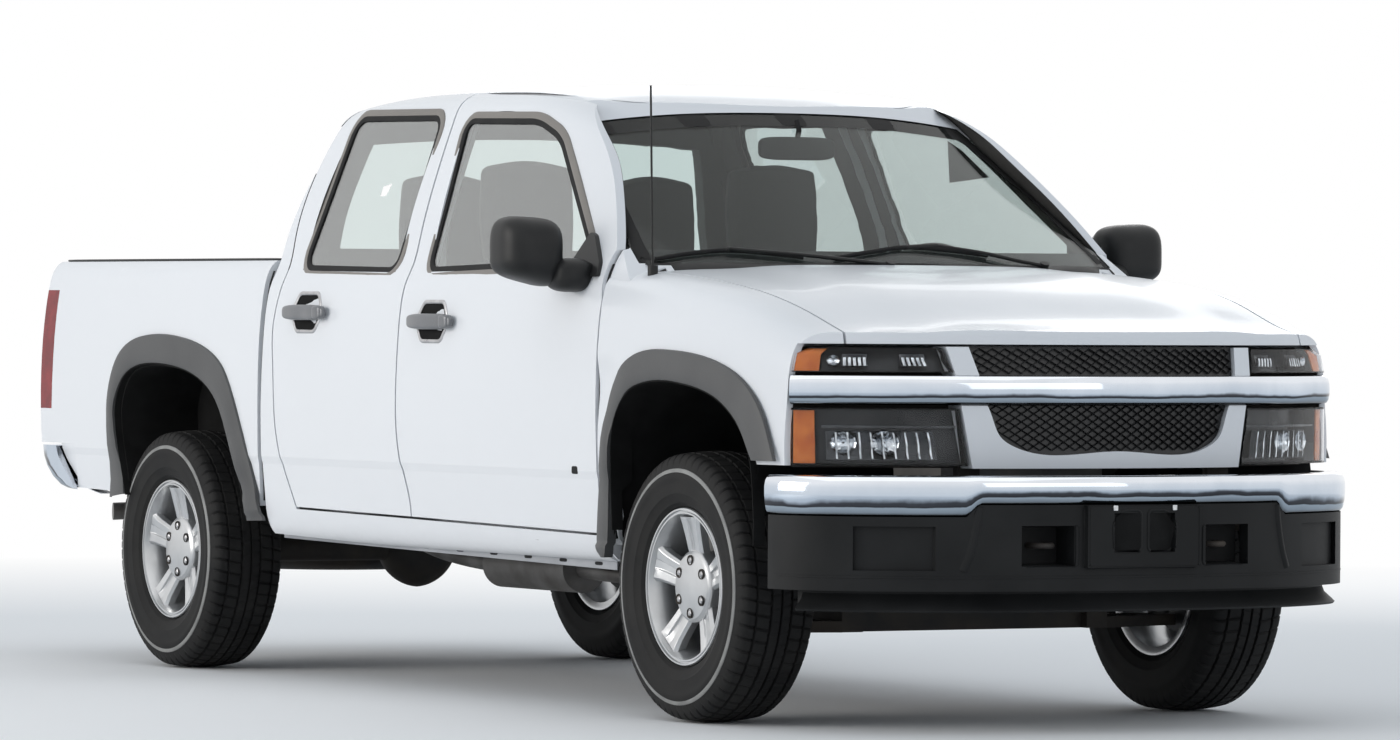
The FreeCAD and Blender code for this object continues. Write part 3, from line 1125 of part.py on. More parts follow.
def build_running_gear(pieces, face_x):
    y = FRONT_AXLE_Y
    spindle_end = face_x - RIM_WALL - SPINDLE_CLEAR
    column = cylinder(KNUCKLE_RADIUS, Vector(KINGPIN_X, y, HUB_HEIGHT - KNUCKLE_HALF),
                      Vector(KINGPIN_X, y, HUB_HEIGHT + KNUCKLE_HALF))
    spindle = cylinder(HUB_BORE - SPINDLE_CLEAR, Vector(KINGPIN_X, y, HUB_HEIGHT),
                       Vector(spindle_end, y, HUB_HEIGHT))
    knuckle = joined([column, spindle])
    pieces["knuckle_left"] = knuckle
    pieces["knuckle_right"] = mirrored(knuckle)
    arms = []
    for z in (HUB_HEIGHT - KNUCKLE_HALF - SEAT_GAP - ARM_THICK, HUB_HEIGHT + KNUCKLE_HALF + SEAT_GAP):
        points = [(ARM_INNER_X, -ARM_SPREAD), (KINGPIN_X + ARM_TIP, -ARM_TIP),
                  (KINGPIN_X + ARM_TIP, ARM_TIP), (ARM_INNER_X, ARM_SPREAD)]
        placed = [Vector(px, y + py, z) for px, py in points]
        arm = extrude([[placed[index], placed[(index + 1) % 4]] for index in range(4)],
                      Vector(0, 0, ARM_THICK))
        hole = [(ARM_INNER_X + ARM_THICK, -ARM_SPREAD / 2), (KINGPIN_X - ARM_THICK * 3, 0),
                (ARM_INNER_X + ARM_THICK, ARM_SPREAD / 2)]
        placed = [Vector(px, y + py, z - OVERRUN) for px, py in hole]
        arm = arm.cut(extrude([[placed[index], placed[(index + 1) % 3]] for index in range(3)],
                              Vector(0, 0, ARM_THICK + 2 * OVERRUN)))
        arms.append(arm)
    tower = box(RAIL_INNER_X, RAIL_INNER_X + RAIL_WIDTH, y - ARM_SPREAD, y + ARM_SPREAD,
                HUB_HEIGHT - KNUCKLE_HALF - ARM_THICK,
                HUB_HEIGHT + KNUCKLE_HALF + ARM_THICK)
    bar = box(-RAIL_INNER_X - SEAT_GAP, RAIL_INNER_X + SEAT_GAP, y - CROSS_WIDTH, y + CROSS_WIDTH,
              HUB_HEIGHT - KNUCKLE_HALF - ARM_THICK,
              HUB_HEIGHT - KNUCKLE_HALF + ARM_THICK)
    pieces["front_suspension"] = both(Part.makeCompound(arms))
    rear_y = REAR_AXLE_Y
    cover = [Vector(across(wide), 0, up(high)) for wide, high in DIFF_SHARES]
    half = [
        cover,
        [cover[-1], Vector(AXLE_END_X, 0, AXLE_RADIUS)],
        [Vector(AXLE_END_X, 0, AXLE_RADIUS), Vector(AXLE_END_X, 0, HUB_BORE - SPINDLE_CLEAR)],
        [Vector(AXLE_END_X, 0, HUB_BORE - SPINDLE_CLEAR), Vector(spindle_end, 0, HUB_BORE - SPINDLE_CLEAR)],
        [Vector(spindle_end, 0, HUB_BORE - SPINDLE_CLEAR), Vector(spindle_end, 0, 0)],
    ]
    runs = half + [[Vector(spindle_end, 0, 0), Vector(-spindle_end, 0, 0)]]
    runs += [[flipped(point) for point in reversed(run)] for run in reversed(half)]
    axle = Part.Face(closed(runs)).revolve(Vector(0, 0, 0), Vector(1, 0, 0), 360)
    pieces["rear_axle"] = axle.translate(Vector(0, rear_y, HUB_HEIGHT))
    seat_z = HUB_HEIGHT + AXLE_RADIUS
    spring = side_prism(SPRING_SHARES, SPRING_X - SPRING_WIDTH / 2, SPRING_X + SPRING_WIDTH / 2)
    pad = box(SPRING_X - SPRING_WIDTH / 2, SPRING_X + SPRING_WIDTH / 2, rear_y - SPRING_WIDTH,
              rear_y + SPRING_WIDTH,
              seat_z + SEAT_GAP, up(SPRING_SHARES[0][2][1]) + SKIN)
    hangers = []
    for along, high in (SPRING_SHARES[0][0], SPRING_SHARES[0][-1]):
        hangers.append(box(RAIL_INNER_X + RAIL_WIDTH + SEAT_GAP, SPRING_X + SPRING_WIDTH / 2,
                           at(along) - SKIN, at(along) + SKIN,
                           up(high), up(high) + CROSS_HEIGHT))
    pieces["leaf_springs"] = both(joined([spring, pad] + hangers))
    return tower, bar


def build_frame(pieces, tower, bar):
    rail = side_prism(RAIL_SHARES, RAIL_INNER_X, RAIL_INNER_X + RAIL_WIDTH)
    shapes = [rail, mirrored(rail), tower, mirrored(tower), bar]
    for along, high in CROSS_SHARES:
        shapes.append(box(-RAIL_INNER_X - SEAT_GAP, RAIL_INNER_X + SEAT_GAP, at(along) - CROSS_WIDTH / 2,
                          at(along) + CROSS_WIDTH / 2,
                          up(high) - CROSS_HEIGHT / 2, up(high) + CROSS_HEIGHT / 2))
    middle = RAIL_INNER_X + RAIL_WIDTH / 2
    pads = []
    for shares, top in ((CAB_MOUNT_SHARES, CAB_FLOOR_Z - CAB_FLOOR),
                        (BED_MOUNT_SHARES, BED_FLOOR_Z - BED_FLOOR)):
        for along, high in shares:
            pads.append(cylinder(MOUNT_RADIUS, Vector(middle, at(along), up(high)),
                                 Vector(middle, at(along), top)))
    foot = box(ENGINE_FOOT_X[0], ENGINE_FOOT_X[1], FRONT_AXLE_Y - CROSS_WIDTH / 2,
               FRONT_AXLE_Y + CROSS_WIDTH / 2,
               HUB_HEIGHT - KNUCKLE_HALF, up(ENGINE_SHARES[0][1]) - SEAT_GAP)
    pads.append(foot)
    shapes += pads + [mirrored(pad) for pad in pads]
    front = swept_plan(BUMPER_PLAN_SHARES, 0.0, 0.0, ROOF_HEIGHT, 1)
    front = front.cut(swept_plan(BUMPER_PLAN_SHARES, BUMPER_WALL + SEAT_GAP, -OVERRUN,
                                 ROOF_HEIGHT + OVERRUN, 1))
    rear = swept_plan(REAR_BUMPER_PLAN_SHARES, 0.0, 0.0, ROOF_HEIGHT, -1)
    rear = rear.cut(swept_plan(REAR_BUMPER_PLAN_SHARES, REAR_BUMPER_WALL + SEAT_GAP, -OVERRUN,
                               ROOF_HEIGHT + OVERRUN, -1))
    pieces["frame"] = joined(shapes).cut([front, rear])


def pipe(shares, radius):
    points = [Vector(across(wide), at(along), up(high)) for wide, along, high in shares]
    start = Part.Wire([Part.makeCircle(radius, points[0], points[1] - points[0])])
    return Part.Wire([spline(points)]).makePipeShell([start], True, False)


def build_drive_line(pieces):
    (front, low), (rear, high) = ENGINE_SHARES
    block = box(-ENGINE_HALF_WIDTH, ENGINE_HALF_WIDTH, at(front), at(rear), up(low), up(high))
    edges = [edge for edge in block.Edges if abs(edge.Vertexes[0].Point.y
                                                 - edge.Vertexes[-1].Point.y) > OVERRUN]
    pieces["engine"] = block.makeChamfer(ENGINE_CHAMFER, edges)
    cone = Part.makeCone(GEARBOX_FRONT_RADIUS, GEARBOX_REAR_RADIUS,
                         at(GEARBOX_SHARES[1][0]) - at(rear) - SEAT_GAP,
                         Vector(0, at(rear) + SEAT_GAP, SHAFT_HEIGHT + GEARBOX_REAR_RADIUS / 2), Vector(0,
                                                                                                        1, 0))
    case = cylinder(GEARBOX_REAR_RADIUS, Vector(0, at(GEARBOX_SHARES[1][0]) - OVERRUN, SHAFT_HEIGHT),
                    Vector(0, at(GEARBOX_SHARES[2][0]), SHAFT_HEIGHT))
    shaft = cylinder(SHAFT_RADIUS, Vector(0, at(GEARBOX_SHARES[2][0]) - OVERRUN, SHAFT_HEIGHT),
                     Vector(0, REAR_AXLE_Y - DIFF_RADIUS - SEAT_GAP, HUB_HEIGHT + SKIN))
    pieces["drive_line"] = joined([cone, case, shaft]).cut(Part.makeSphere(DIFF_RADIUS + SEAT_GAP,
                                                                           Vector(0, REAR_AXLE_Y,
                                                                                  HUB_HEIGHT)))
    front_pipe = pipe(PIPE_SHARES, PIPE_RADIUS)
    hangers = []
    for wide, along, high, under in HANGER_SHARES:
        x = across(wide)
        hangers.append(cylinder(HANGER_RADIUS, Vector(x, at(along), up(high)),
                                Vector(x, at(along), up(under) - SEAT_GAP)))
    start = Vector(across(MUFFLER_SHARES[0][0]), at(MUFFLER_SHARES[0][1]), up(MUFFLER_SHARES[0][2]))
    end = Vector(across(MUFFLER_SHARES[1][0]), at(MUFFLER_SHARES[1][1]), up(MUFFLER_SHARES[1][2]))
    pieces["exhaust"] = joined([front_pipe, cylinder(MUFFLER_RADIUS, start, end),
                                pipe(TAIL_PIPE_SHARES, PIPE_RADIUS)] + hangers)
    (front, low), (rear, high) = TANK_SHARES
    tank_x = RAIL_INNER_X + RAIL_WIDTH + SEAT_GAP
    tank = box(tank_x, tank_x + TANK_WIDTH, at(front), at(rear), up(low), up(high))
    pieces["fuel_tank"] = tank.makeFillet(SKIN, tank.Edges)
    spare = tyre_shape(Vector(0, 0, 0), SPARE_SCALE)
    spare = spare.fuse(ring(RIM_RADIUS * SPARE_SCALE + SEAT_GAP, 0, -RIM_FACE_IN, RIM_FACE_IN,
                            Vector(0, 0, 0)))
    post_top = up(CROSS_SHARES[4][1]) - CROSS_HEIGHT / 2 - SEAT_GAP - SPARE_HEIGHT
    spare = spare.fuse(cylinder(HANGER_RADIUS * 2, Vector(RIM_FACE_IN / 2, 0, 0), Vector(post_top, 0, 0)))
    spare = spare.rotate(Vector(0, 0, 0), Vector(0, 1, 0),
                         -90).translate(Vector(0, at(SPARE_SHARE), SPARE_HEIGHT))
    pieces["spare_wheel"] = spare


# Cabin
SEAT_SHARES = [
    [(0.3500, 0.3243), (0.5000, 0.3156)],
    [(0.5000, 0.3156), (0.5500, 0.6891)],
    [(0.5500, 0.6891), (0.5125, 0.6920)],
    [(0.5125, 0.6920), (0.4781, 0.4401)],
    [(0.4781, 0.4401), (0.3406, 0.4574)],
    [(0.3406, 0.4574), (0.3500, 0.3243)],
]
BENCH_SHARES = [
    [(0.6219, 0.3243), (0.7438, 0.3156)],
    [(0.7438, 0.3156), (0.7662, 0.6717)],
    [(0.7662, 0.6717), (0.7312, 0.6746)],
    [(0.7312, 0.6746), (0.7094, 0.4517)],
    [(0.7094, 0.4517), (0.6125, 0.4632)],
    [(0.6125, 0.4632), (0.6219, 0.3243)],
]
SEAT_X = (150.0, 655.0)
BENCH_HALF_WIDTH = 655.0
SEAT_ROUND = 30.0
HEADREST_SHARES = [
    (0.5156, 0.6948), (0.5500, 0.8743),
]
# The room of the backs behind each cushion's corner
SEAT_BACK_SHARES = [
    [(0.5000, 0.3156), (0.4781, 0.4401)],
    [(0.4781, 0.4401), (0.4781, 0.8107)],
    [(0.4781, 0.8107), (0.5938, 0.8107)],
    [(0.5938, 0.8107), (0.5938, 0.3156)],
    [(0.5938, 0.3156), (0.5000, 0.3156)],
]
BENCH_BACK_SHARES = [
    [(0.7438, 0.3156), (0.7094, 0.4517)],
    [(0.7094, 0.4517), (0.7094, 0.8107)],
    [(0.7094, 0.8107), (0.8125, 0.8107)],
    [(0.8125, 0.8107), (0.8125, 0.3156)],
    [(0.8125, 0.3156), (0.7438, 0.3156)],
]
BENCH_REST_SHARES = [
    (0.7203, 0.6746), (0.7453, 0.8570),
]
BENCH_REST_X = 350.0
HEADREST_HALF_WIDTH = 130.0
DASH_SHARES = [
    [(0.1356, 0.4285), (0.1938, 0.4459), (0.2188, 0.5211), (0.2156, 0.6254), (0.1875, 0.6746),
     (0.1356, 0.6809)],
    [(0.1356, 0.6809), (0.1356, 0.4285)],
]
DASH_HALF_WIDTH = 640.0
STEERING_SHARE = [
    (0.4254, 0.2500, 0.6369),
]
STEERING_RADIUS = 182.0
STEERING_GRIP = 15.0
STEERING_TILT = 64.0

# Outside pieces
MIRROR_SHARES = [
    (1.0548, 0.1750, 0.6566), (1.2238, 0.2297, 0.7776),
]
MIRROR_ROUND = 34.0
MIRROR_FOOT_SHARES = [
    [(0.1562, 0.6833), (0.2188, 0.6833)],
    [(0.2188, 0.6833), (0.2156, 0.7470)],
    [(0.2156, 0.7470), (0.1750, 0.7122)],
    [(0.1750, 0.7122), (0.1562, 0.6833)],
]
FRONT_HANDLE_SHARES = [
    (0.4147, 0.5906), (0.5047, 0.6265),
]
REAR_HANDLE_SHARES = [
    (0.6700, 0.6045), (0.7572, 0.6404),
]
HANDLE_OUT = 20.0
ANTENNA_SHARES = [
    (-0.8881, 0.0938, 0.6659), (-0.8881, 0.0994, 0.9774),
]
ANTENNA_RADIUS = 3.0
ANTENNA_FOOT_RADIUS = 14.0


def head_rest(middle, corners):
    (front, low), (rear, high) = corners
    rest = box(middle - HEADREST_HALF_WIDTH, middle + HEADREST_HALF_WIDTH, at(front), at(rear),
               up(low) - SEAT_ROUND, up(high))
    return rest.makeFillet(SEAT_ROUND, rest.Edges)


def seat_parts(shares, back_shares, x_low, x_high):
    whole = side_prism(shares, x_low, x_high)
    whole = whole.makeFillet(SEAT_ROUND, whole.Edges)
    room = side_prism(back_shares, x_low - OVERRUN, x_high + OVERRUN)
    base = box(x_low + SEAT_ROUND, x_high - SEAT_ROUND, at(shares[0][0][0]) + SEAT_ROUND,
               at(shares[0][1][0]) - SEAT_ROUND * 2, CAB_FLOOR_Z + SEAT_GAP, up(shares[0][0][1]) + SEAT_ROUND)
    return joined([whole.cut(room), base.cut(room)]), whole.common(room)


def build_cabin(pieces):
    cushion, back = seat_parts(SEAT_SHARES, SEAT_BACK_SHARES, SEAT_X[0], SEAT_X[1])
    rest = head_rest((SEAT_X[0] + SEAT_X[1]) / 2, HEADREST_SHARES).cut(back)
    seat = Part.makeCompound(cushion.Solids + back.Solids + rest.Solids)
    pieces["front_seats"] = Part.makeCompound(seat.Solids + mirrored(seat).Solids)
    cushion, back = seat_parts(BENCH_SHARES, BENCH_BACK_SHARES, -BENCH_HALF_WIDTH, BENCH_HALF_WIDTH)
    rest = head_rest(BENCH_REST_X, BENCH_REST_SHARES).cut(back)
    pieces["rear_bench"] = Part.makeCompound(cushion.Solids + back.Solids + both(rest).Solids)
    pieces["dashboard"] = side_prism(DASH_SHARES, -DASH_HALF_WIDTH, DASH_HALF_WIDTH)
    wide, along, high = STEERING_SHARE[0]
    center = Vector(across(wide), at(along), up(high))
    axis = Vector(0, math.sin(math.radians(STEERING_TILT)), math.cos(math.radians(STEERING_TILT)))
    rim = Part.makeTorus(STEERING_RADIUS, STEERING_GRIP, center, axis)
    boss = cylinder(STEERING_GRIP * 3, center - axis * STEERING_GRIP, center + axis * STEERING_GRIP)
    column = cylinder(STEERING_GRIP * 2, center, center - axis * (STEERING_RADIUS * 2))
    arms = []
    upward = Vector(0, -axis.z, axis.y)
    for degrees in (0, 180, 270):
        turn = math.radians(degrees)
        direction = Vector(math.cos(turn), 0, 0) + upward * math.sin(turn)
        arms.append(cylinder(STEERING_GRIP, center, center + direction * STEERING_RADIUS))
    pieces["steering_wheel"] = joined([rim, boss, column] + arms).cut(pieces["dashboard"])


def build_outside(pieces):
    (wide, along, low), (far_wide, far_along, high) = MIRROR_SHARES
    head = box(across(wide), across(far_wide), at(along), at(far_along), up(low), up(high))
    head = head.makeFillet(MIRROR_ROUND, head.Edges)
    foot = side_prism(MIRROR_FOOT_SHARES, BODY_HALF_WIDTH * 0.84, across(wide) + MIRROR_ROUND)
    mirror = joined([head, foot]).cut(cab_slab(-SEAT_GAP))
    hardware = {"front": [max(mirror.Solids, key=lambda solid: solid.Volume)], "rear": []}
    for name, shares in (("front", FRONT_HANDLE_SHARES), ("rear", REAR_HANDLE_SHARES)):
        (front, low), (rear, high) = shares
        bar = box(BODY_HALF_WIDTH - OVERRUN, BODY_HALF_WIDTH + HANDLE_OUT, at(front), at(rear), up(low),
                  up(high))
        bar = bar.makeFillet(HANDLE_OUT, [edge for edge in bar.Edges if edge.BoundBox.XMin > BODY_HALF_WIDTH])
        hardware[name] += bar.cut(cab_slab(-SEAT_GAP)).Solids
        pieces["door_" + name + "_fittings_left"] = Part.makeCompound(hardware[name])
        pieces["door_" + name + "_fittings_right"] = mirrored(Part.makeCompound(hardware[name]))
    (wide, along, low), (far_wide, far_along, high) = ANTENNA_SHARES
    foot = Vector(across(wide), at(along), up(low))
    tip = Vector(across(far_wide), at(far_along), up(high))
    base = cylinder(ANTENNA_FOOT_RADIUS, foot, foot + Vector(0, 0, ANTENNA_FOOT_RADIUS * 4))
    mast = joined([cylinder(ANTENNA_RADIUS, foot, tip), base]).cut(front_slab(-SEAT_GAP))
    pieces["antenna"] = max(mast.Solids, key=lambda solid: solid.BoundBox.ZMax)


def build_doors(doors, pieces):
    for name, piece in doors.items():
        pieces["door_" + name + "_left"] = piece
        pieces["door_" + name + "_right"] = mirrored(piece)


def build_all():
    pieces = {}
    build_front(pieces)
    build_bumpers(pieces)
    build_bed(pieces)
    build_flares(pieces)
    face_x = build_wheels(pieces)
    tower, bar = build_running_gear(pieces, face_x)
    build_frame(pieces, tower, bar)
    build_drive_line(pieces)
    build_cabin(pieces)
    build_outside(pieces)
    shell, doors, pane, back_pane = build_cab()
    pieces["cab"] = shell.cut([pieces["fender_left"], pieces["fender_right"]])
    pieces["fixed_glass"] = Part.makeCompound([pane, back_pane])
    build_doors(doors, pieces)
    os.makedirs("parts", exist_ok=True)
    for name, shape in pieces.items():
        save(name, shape)


build_all()
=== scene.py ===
import math

import bmesh
import bpy
from mathutils import Matrix, Vector
from mathutils.bvhtree import BVHTree
from mathutils.geometry import interpolate_bezier


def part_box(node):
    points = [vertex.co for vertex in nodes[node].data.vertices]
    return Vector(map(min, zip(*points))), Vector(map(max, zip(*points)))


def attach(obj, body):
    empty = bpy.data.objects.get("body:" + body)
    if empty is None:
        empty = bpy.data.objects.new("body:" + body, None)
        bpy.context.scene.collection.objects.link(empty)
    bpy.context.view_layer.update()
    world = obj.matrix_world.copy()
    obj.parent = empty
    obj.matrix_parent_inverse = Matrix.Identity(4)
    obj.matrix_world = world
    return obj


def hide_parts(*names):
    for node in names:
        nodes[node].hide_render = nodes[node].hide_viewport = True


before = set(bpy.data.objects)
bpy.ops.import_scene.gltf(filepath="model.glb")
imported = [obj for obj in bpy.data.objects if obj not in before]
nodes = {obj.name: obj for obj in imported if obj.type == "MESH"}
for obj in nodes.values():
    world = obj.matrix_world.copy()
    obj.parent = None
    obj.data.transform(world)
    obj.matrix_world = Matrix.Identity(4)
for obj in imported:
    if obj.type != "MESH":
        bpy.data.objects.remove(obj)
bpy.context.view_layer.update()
scene = bpy.context.scene
sides = {"left": 1, "right": -1}


def middleOf(node):
    low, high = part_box(node)
    return (low + high) / 2


frontHub = middleOf("rim_front_left")
rearHub = middleOf("rim_rear_left")
frontAxle = frontHub.y


# Camera, light and floor

cameraInfo = {"place": (-10.141, -18.541, 1.086), "turn": 29.06, "dip": 0.47, "roll": 0.349,
              "lens": 188.14, "sensor": 36.0, "shift": (-0.0045, 0.0005)}


def addCamera(info):
    turn, dip, roll = (math.radians(info[key]) for key in ("turn", "dip", "roll"))
    ahead = Vector((math.sin(turn) * math.cos(dip), math.cos(turn) * math.cos(dip), -math.sin(dip)))
    right = Vector((math.cos(turn), -math.sin(turn), 0))
    upward = right.cross(ahead)
    tiltedRight = right * math.cos(roll) + upward * math.sin(roll)
    tiltedUp = upward * math.cos(roll) - right * math.sin(roll)
    data = bpy.data.cameras.new("camera")
    data.lens = info["lens"]
    data.sensor_width = info["sensor"]
    data.shift_x, data.shift_y = info["shift"]
    data.clip_end = 200
    camera = bpy.data.objects.new("camera", data)
    scene.collection.objects.link(camera)
    facing = Matrix((tiltedRight, tiltedUp, -ahead)).transposed().to_4x4()
    camera.matrix_world = Matrix.Translation(info["place"]) @ facing
    scene.camera = camera


lampsInfo = {
    "overhead": {"place": (-1.0, -2.0, 7.5), "aim": (0, 0, 0.6), "size": (9.0, 9.0), "watts": 70},
    "sideFill": {"place": (-9.5, 1.0, 3.0), "aim": (0, 0, 0.8), "size": (6.0, 4.0), "watts": 360,
                 "tint": (1.0, 0.965, 0.92)},
    "frontFill": {"place": (1.5, -10.0, 3.0), "aim": (0, -2.0, 0.8), "size": (5.0, 3.0), "watts": 35},
    "rearFill": {"place": (6.5, 8.0, 4.0), "aim": (0, 1.0, 0.8), "size": (6.0, 4.0), "watts": 130},
}


def addLamp(name, info):
    data = bpy.data.lights.new(name, "AREA")
    data.shape = "RECTANGLE"
    data.size, data.size_y = info["size"]
    data.energy = info["watts"]
    data.color = info.get("tint", (1, 1, 1))
    lamp = bpy.data.objects.new(name, data)
    scene.collection.objects.link(lamp)
    lamp.location = info["place"]
    lamp.rotation_euler = (Vector(info["aim"]) - Vector(info["place"])).to_track_quat("-Z", "Y").to_euler()


# Shader trees: nodes with their levels, and the links between them

def setInputs(node, levels):
    for name, level in levels.items():
        node.inputs[name].default_value = level


def addNode(tree, kind, levels=None, **choices):
    node = tree.nodes.new("ShaderNode" + kind)
    for name, choice in choices.items():
        setattr(node, name, choice)
    setInputs(node, levels or {})
    return node


def setStops(ramp, stops):
    elements = ramp.color_ramp.elements
    for index, (at, color) in enumerate(stops):
        stop = elements[index] if index < 2 else elements.new(at)
        stop.position = at
        stop.color = (*color, 1)


def join(tree, *links):
    for start, end in links:
        tree.links.new(start, end)


def seenOrMirrored(tree):
    # One for a ray from the camera, through glass or off a mirror, and nought for any other.
    rays = addNode(tree, "LightPath")
    level = rays.outputs["Is Camera Ray"]
    for kind in ("Is Transmission Ray", "Is Glossy Ray"):
        larger = addNode(tree, "Math", operation="MAXIMUM")
        join(tree, (level, larger.inputs[0]), (rays.outputs[kind], larger.inputs[1]))
        level = larger.outputs[0]
    return level


def startMaterial(name):
    material = bpy.data.materials.new(name)
    material.use_nodes = True
    tree = material.node_tree
    return material, tree, tree.nodes["Principled BSDF"], addNode(tree, "TexCoord")


# The stops go from the ground up past the horizon, at a half, to the sky.
worldInfo = {"strength": 0.62, "stops": ((0.40, (0.34, 0.335, 0.33)), (0.495, (0.07, 0.08, 0.09)),
                                         (0.53, (0.64, 0.72, 0.82)), (0.72, (0.84, 0.92, 1.0)))}


def setWorld(info):
    # A sky that is paler higher up lights the truck. What is seen directly or mirrored is white.
    world = bpy.data.worlds.new("studio")
    scene.world = world
    world.use_nodes = True
    tree = world.node_tree
    tree.nodes.clear()
    place = addNode(tree, "TexCoord")
    split = addNode(tree, "SeparateXYZ")
    spread = addNode(tree, "MapRange", {"From Min": -1.0})
    ramp = addNode(tree, "ValToRGB")
    setStops(ramp, info["stops"])
    lit = addNode(tree, "Background", {"Strength": info["strength"]})
    seen = addNode(tree, "Background", {"Color": (1, 1, 1, 1)})
    mix = addNode(tree, "MixShader")
    out = addNode(tree, "OutputWorld")
    join(tree, (place.outputs["Generated"], split.inputs[0]), (split.outputs["Z"], spread.inputs["Value"]),
         (spread.outputs[0], ramp.inputs[0]), (ramp.outputs[0], lit.inputs["Color"]),
         (seenOrMirrored(tree), mix.inputs[0]), (lit.outputs[0], mix.inputs[1]), (seen.outputs[0], mix.inputs[2]),
         (mix.outputs[0], out.inputs[0]))


floorInfo = {"half": 60.0, "color": (0.86, 0.86, 0.86), "rough": 0.9, "fade": (5.0, 11.0)}


def addFloor(info):
    # Pale near the truck, and fading into the white background further out.
    half = info["half"]
    mesh = bpy.data.meshes.new("floor")
    mesh.from_pydata([(-half, -half, 0), (half, -half, 0), (half, half, 0), (-half, half, 0)], [], [(0, 1, 2, 3)])
    floor = bpy.data.objects.new("floor", mesh)
    scene.collection.objects.link(floor)
    material, tree, shader, place = startMaterial("paleFloor")
    setInputs(shader, {"Base Color": (*info["color"], 1), "Roughness": info["rough"]})
    reach = addNode(tree, "VectorMath", operation="LENGTH")
    near, far = info["fade"]
    fade = addNode(tree, "MapRange", {"From Min": near, "From Max": far})
    both = addNode(tree, "Math", operation="MULTIPLY")
    white = addNode(tree, "Emission")
    mix = addNode(tree, "MixShader")
    join(tree, (place.outputs["Object"], reach.inputs[0]), (reach.outputs["Value"], fade.inputs["Value"]),
         (fade.outputs[0], both.inputs[0]), (seenOrMirrored(tree), both.inputs[1]), (both.outputs[0], mix.inputs[0]),
         (shader.outputs[0], mix.inputs[1]), (white.outputs[0], mix.inputs[2]),
         (mix.outputs[0], tree.nodes["Material Output"].inputs[0]))
    mesh.materials.append(material)


# Finishes. Each dictionary gives two colours that drift into each other, the grain and the gloss.

noiseInfo = {"driftDetail": 5.0, "between": (0.35, 0.65), "grainDetail": 3.0, "grainHigh": 0.001, "sway": 0.16}

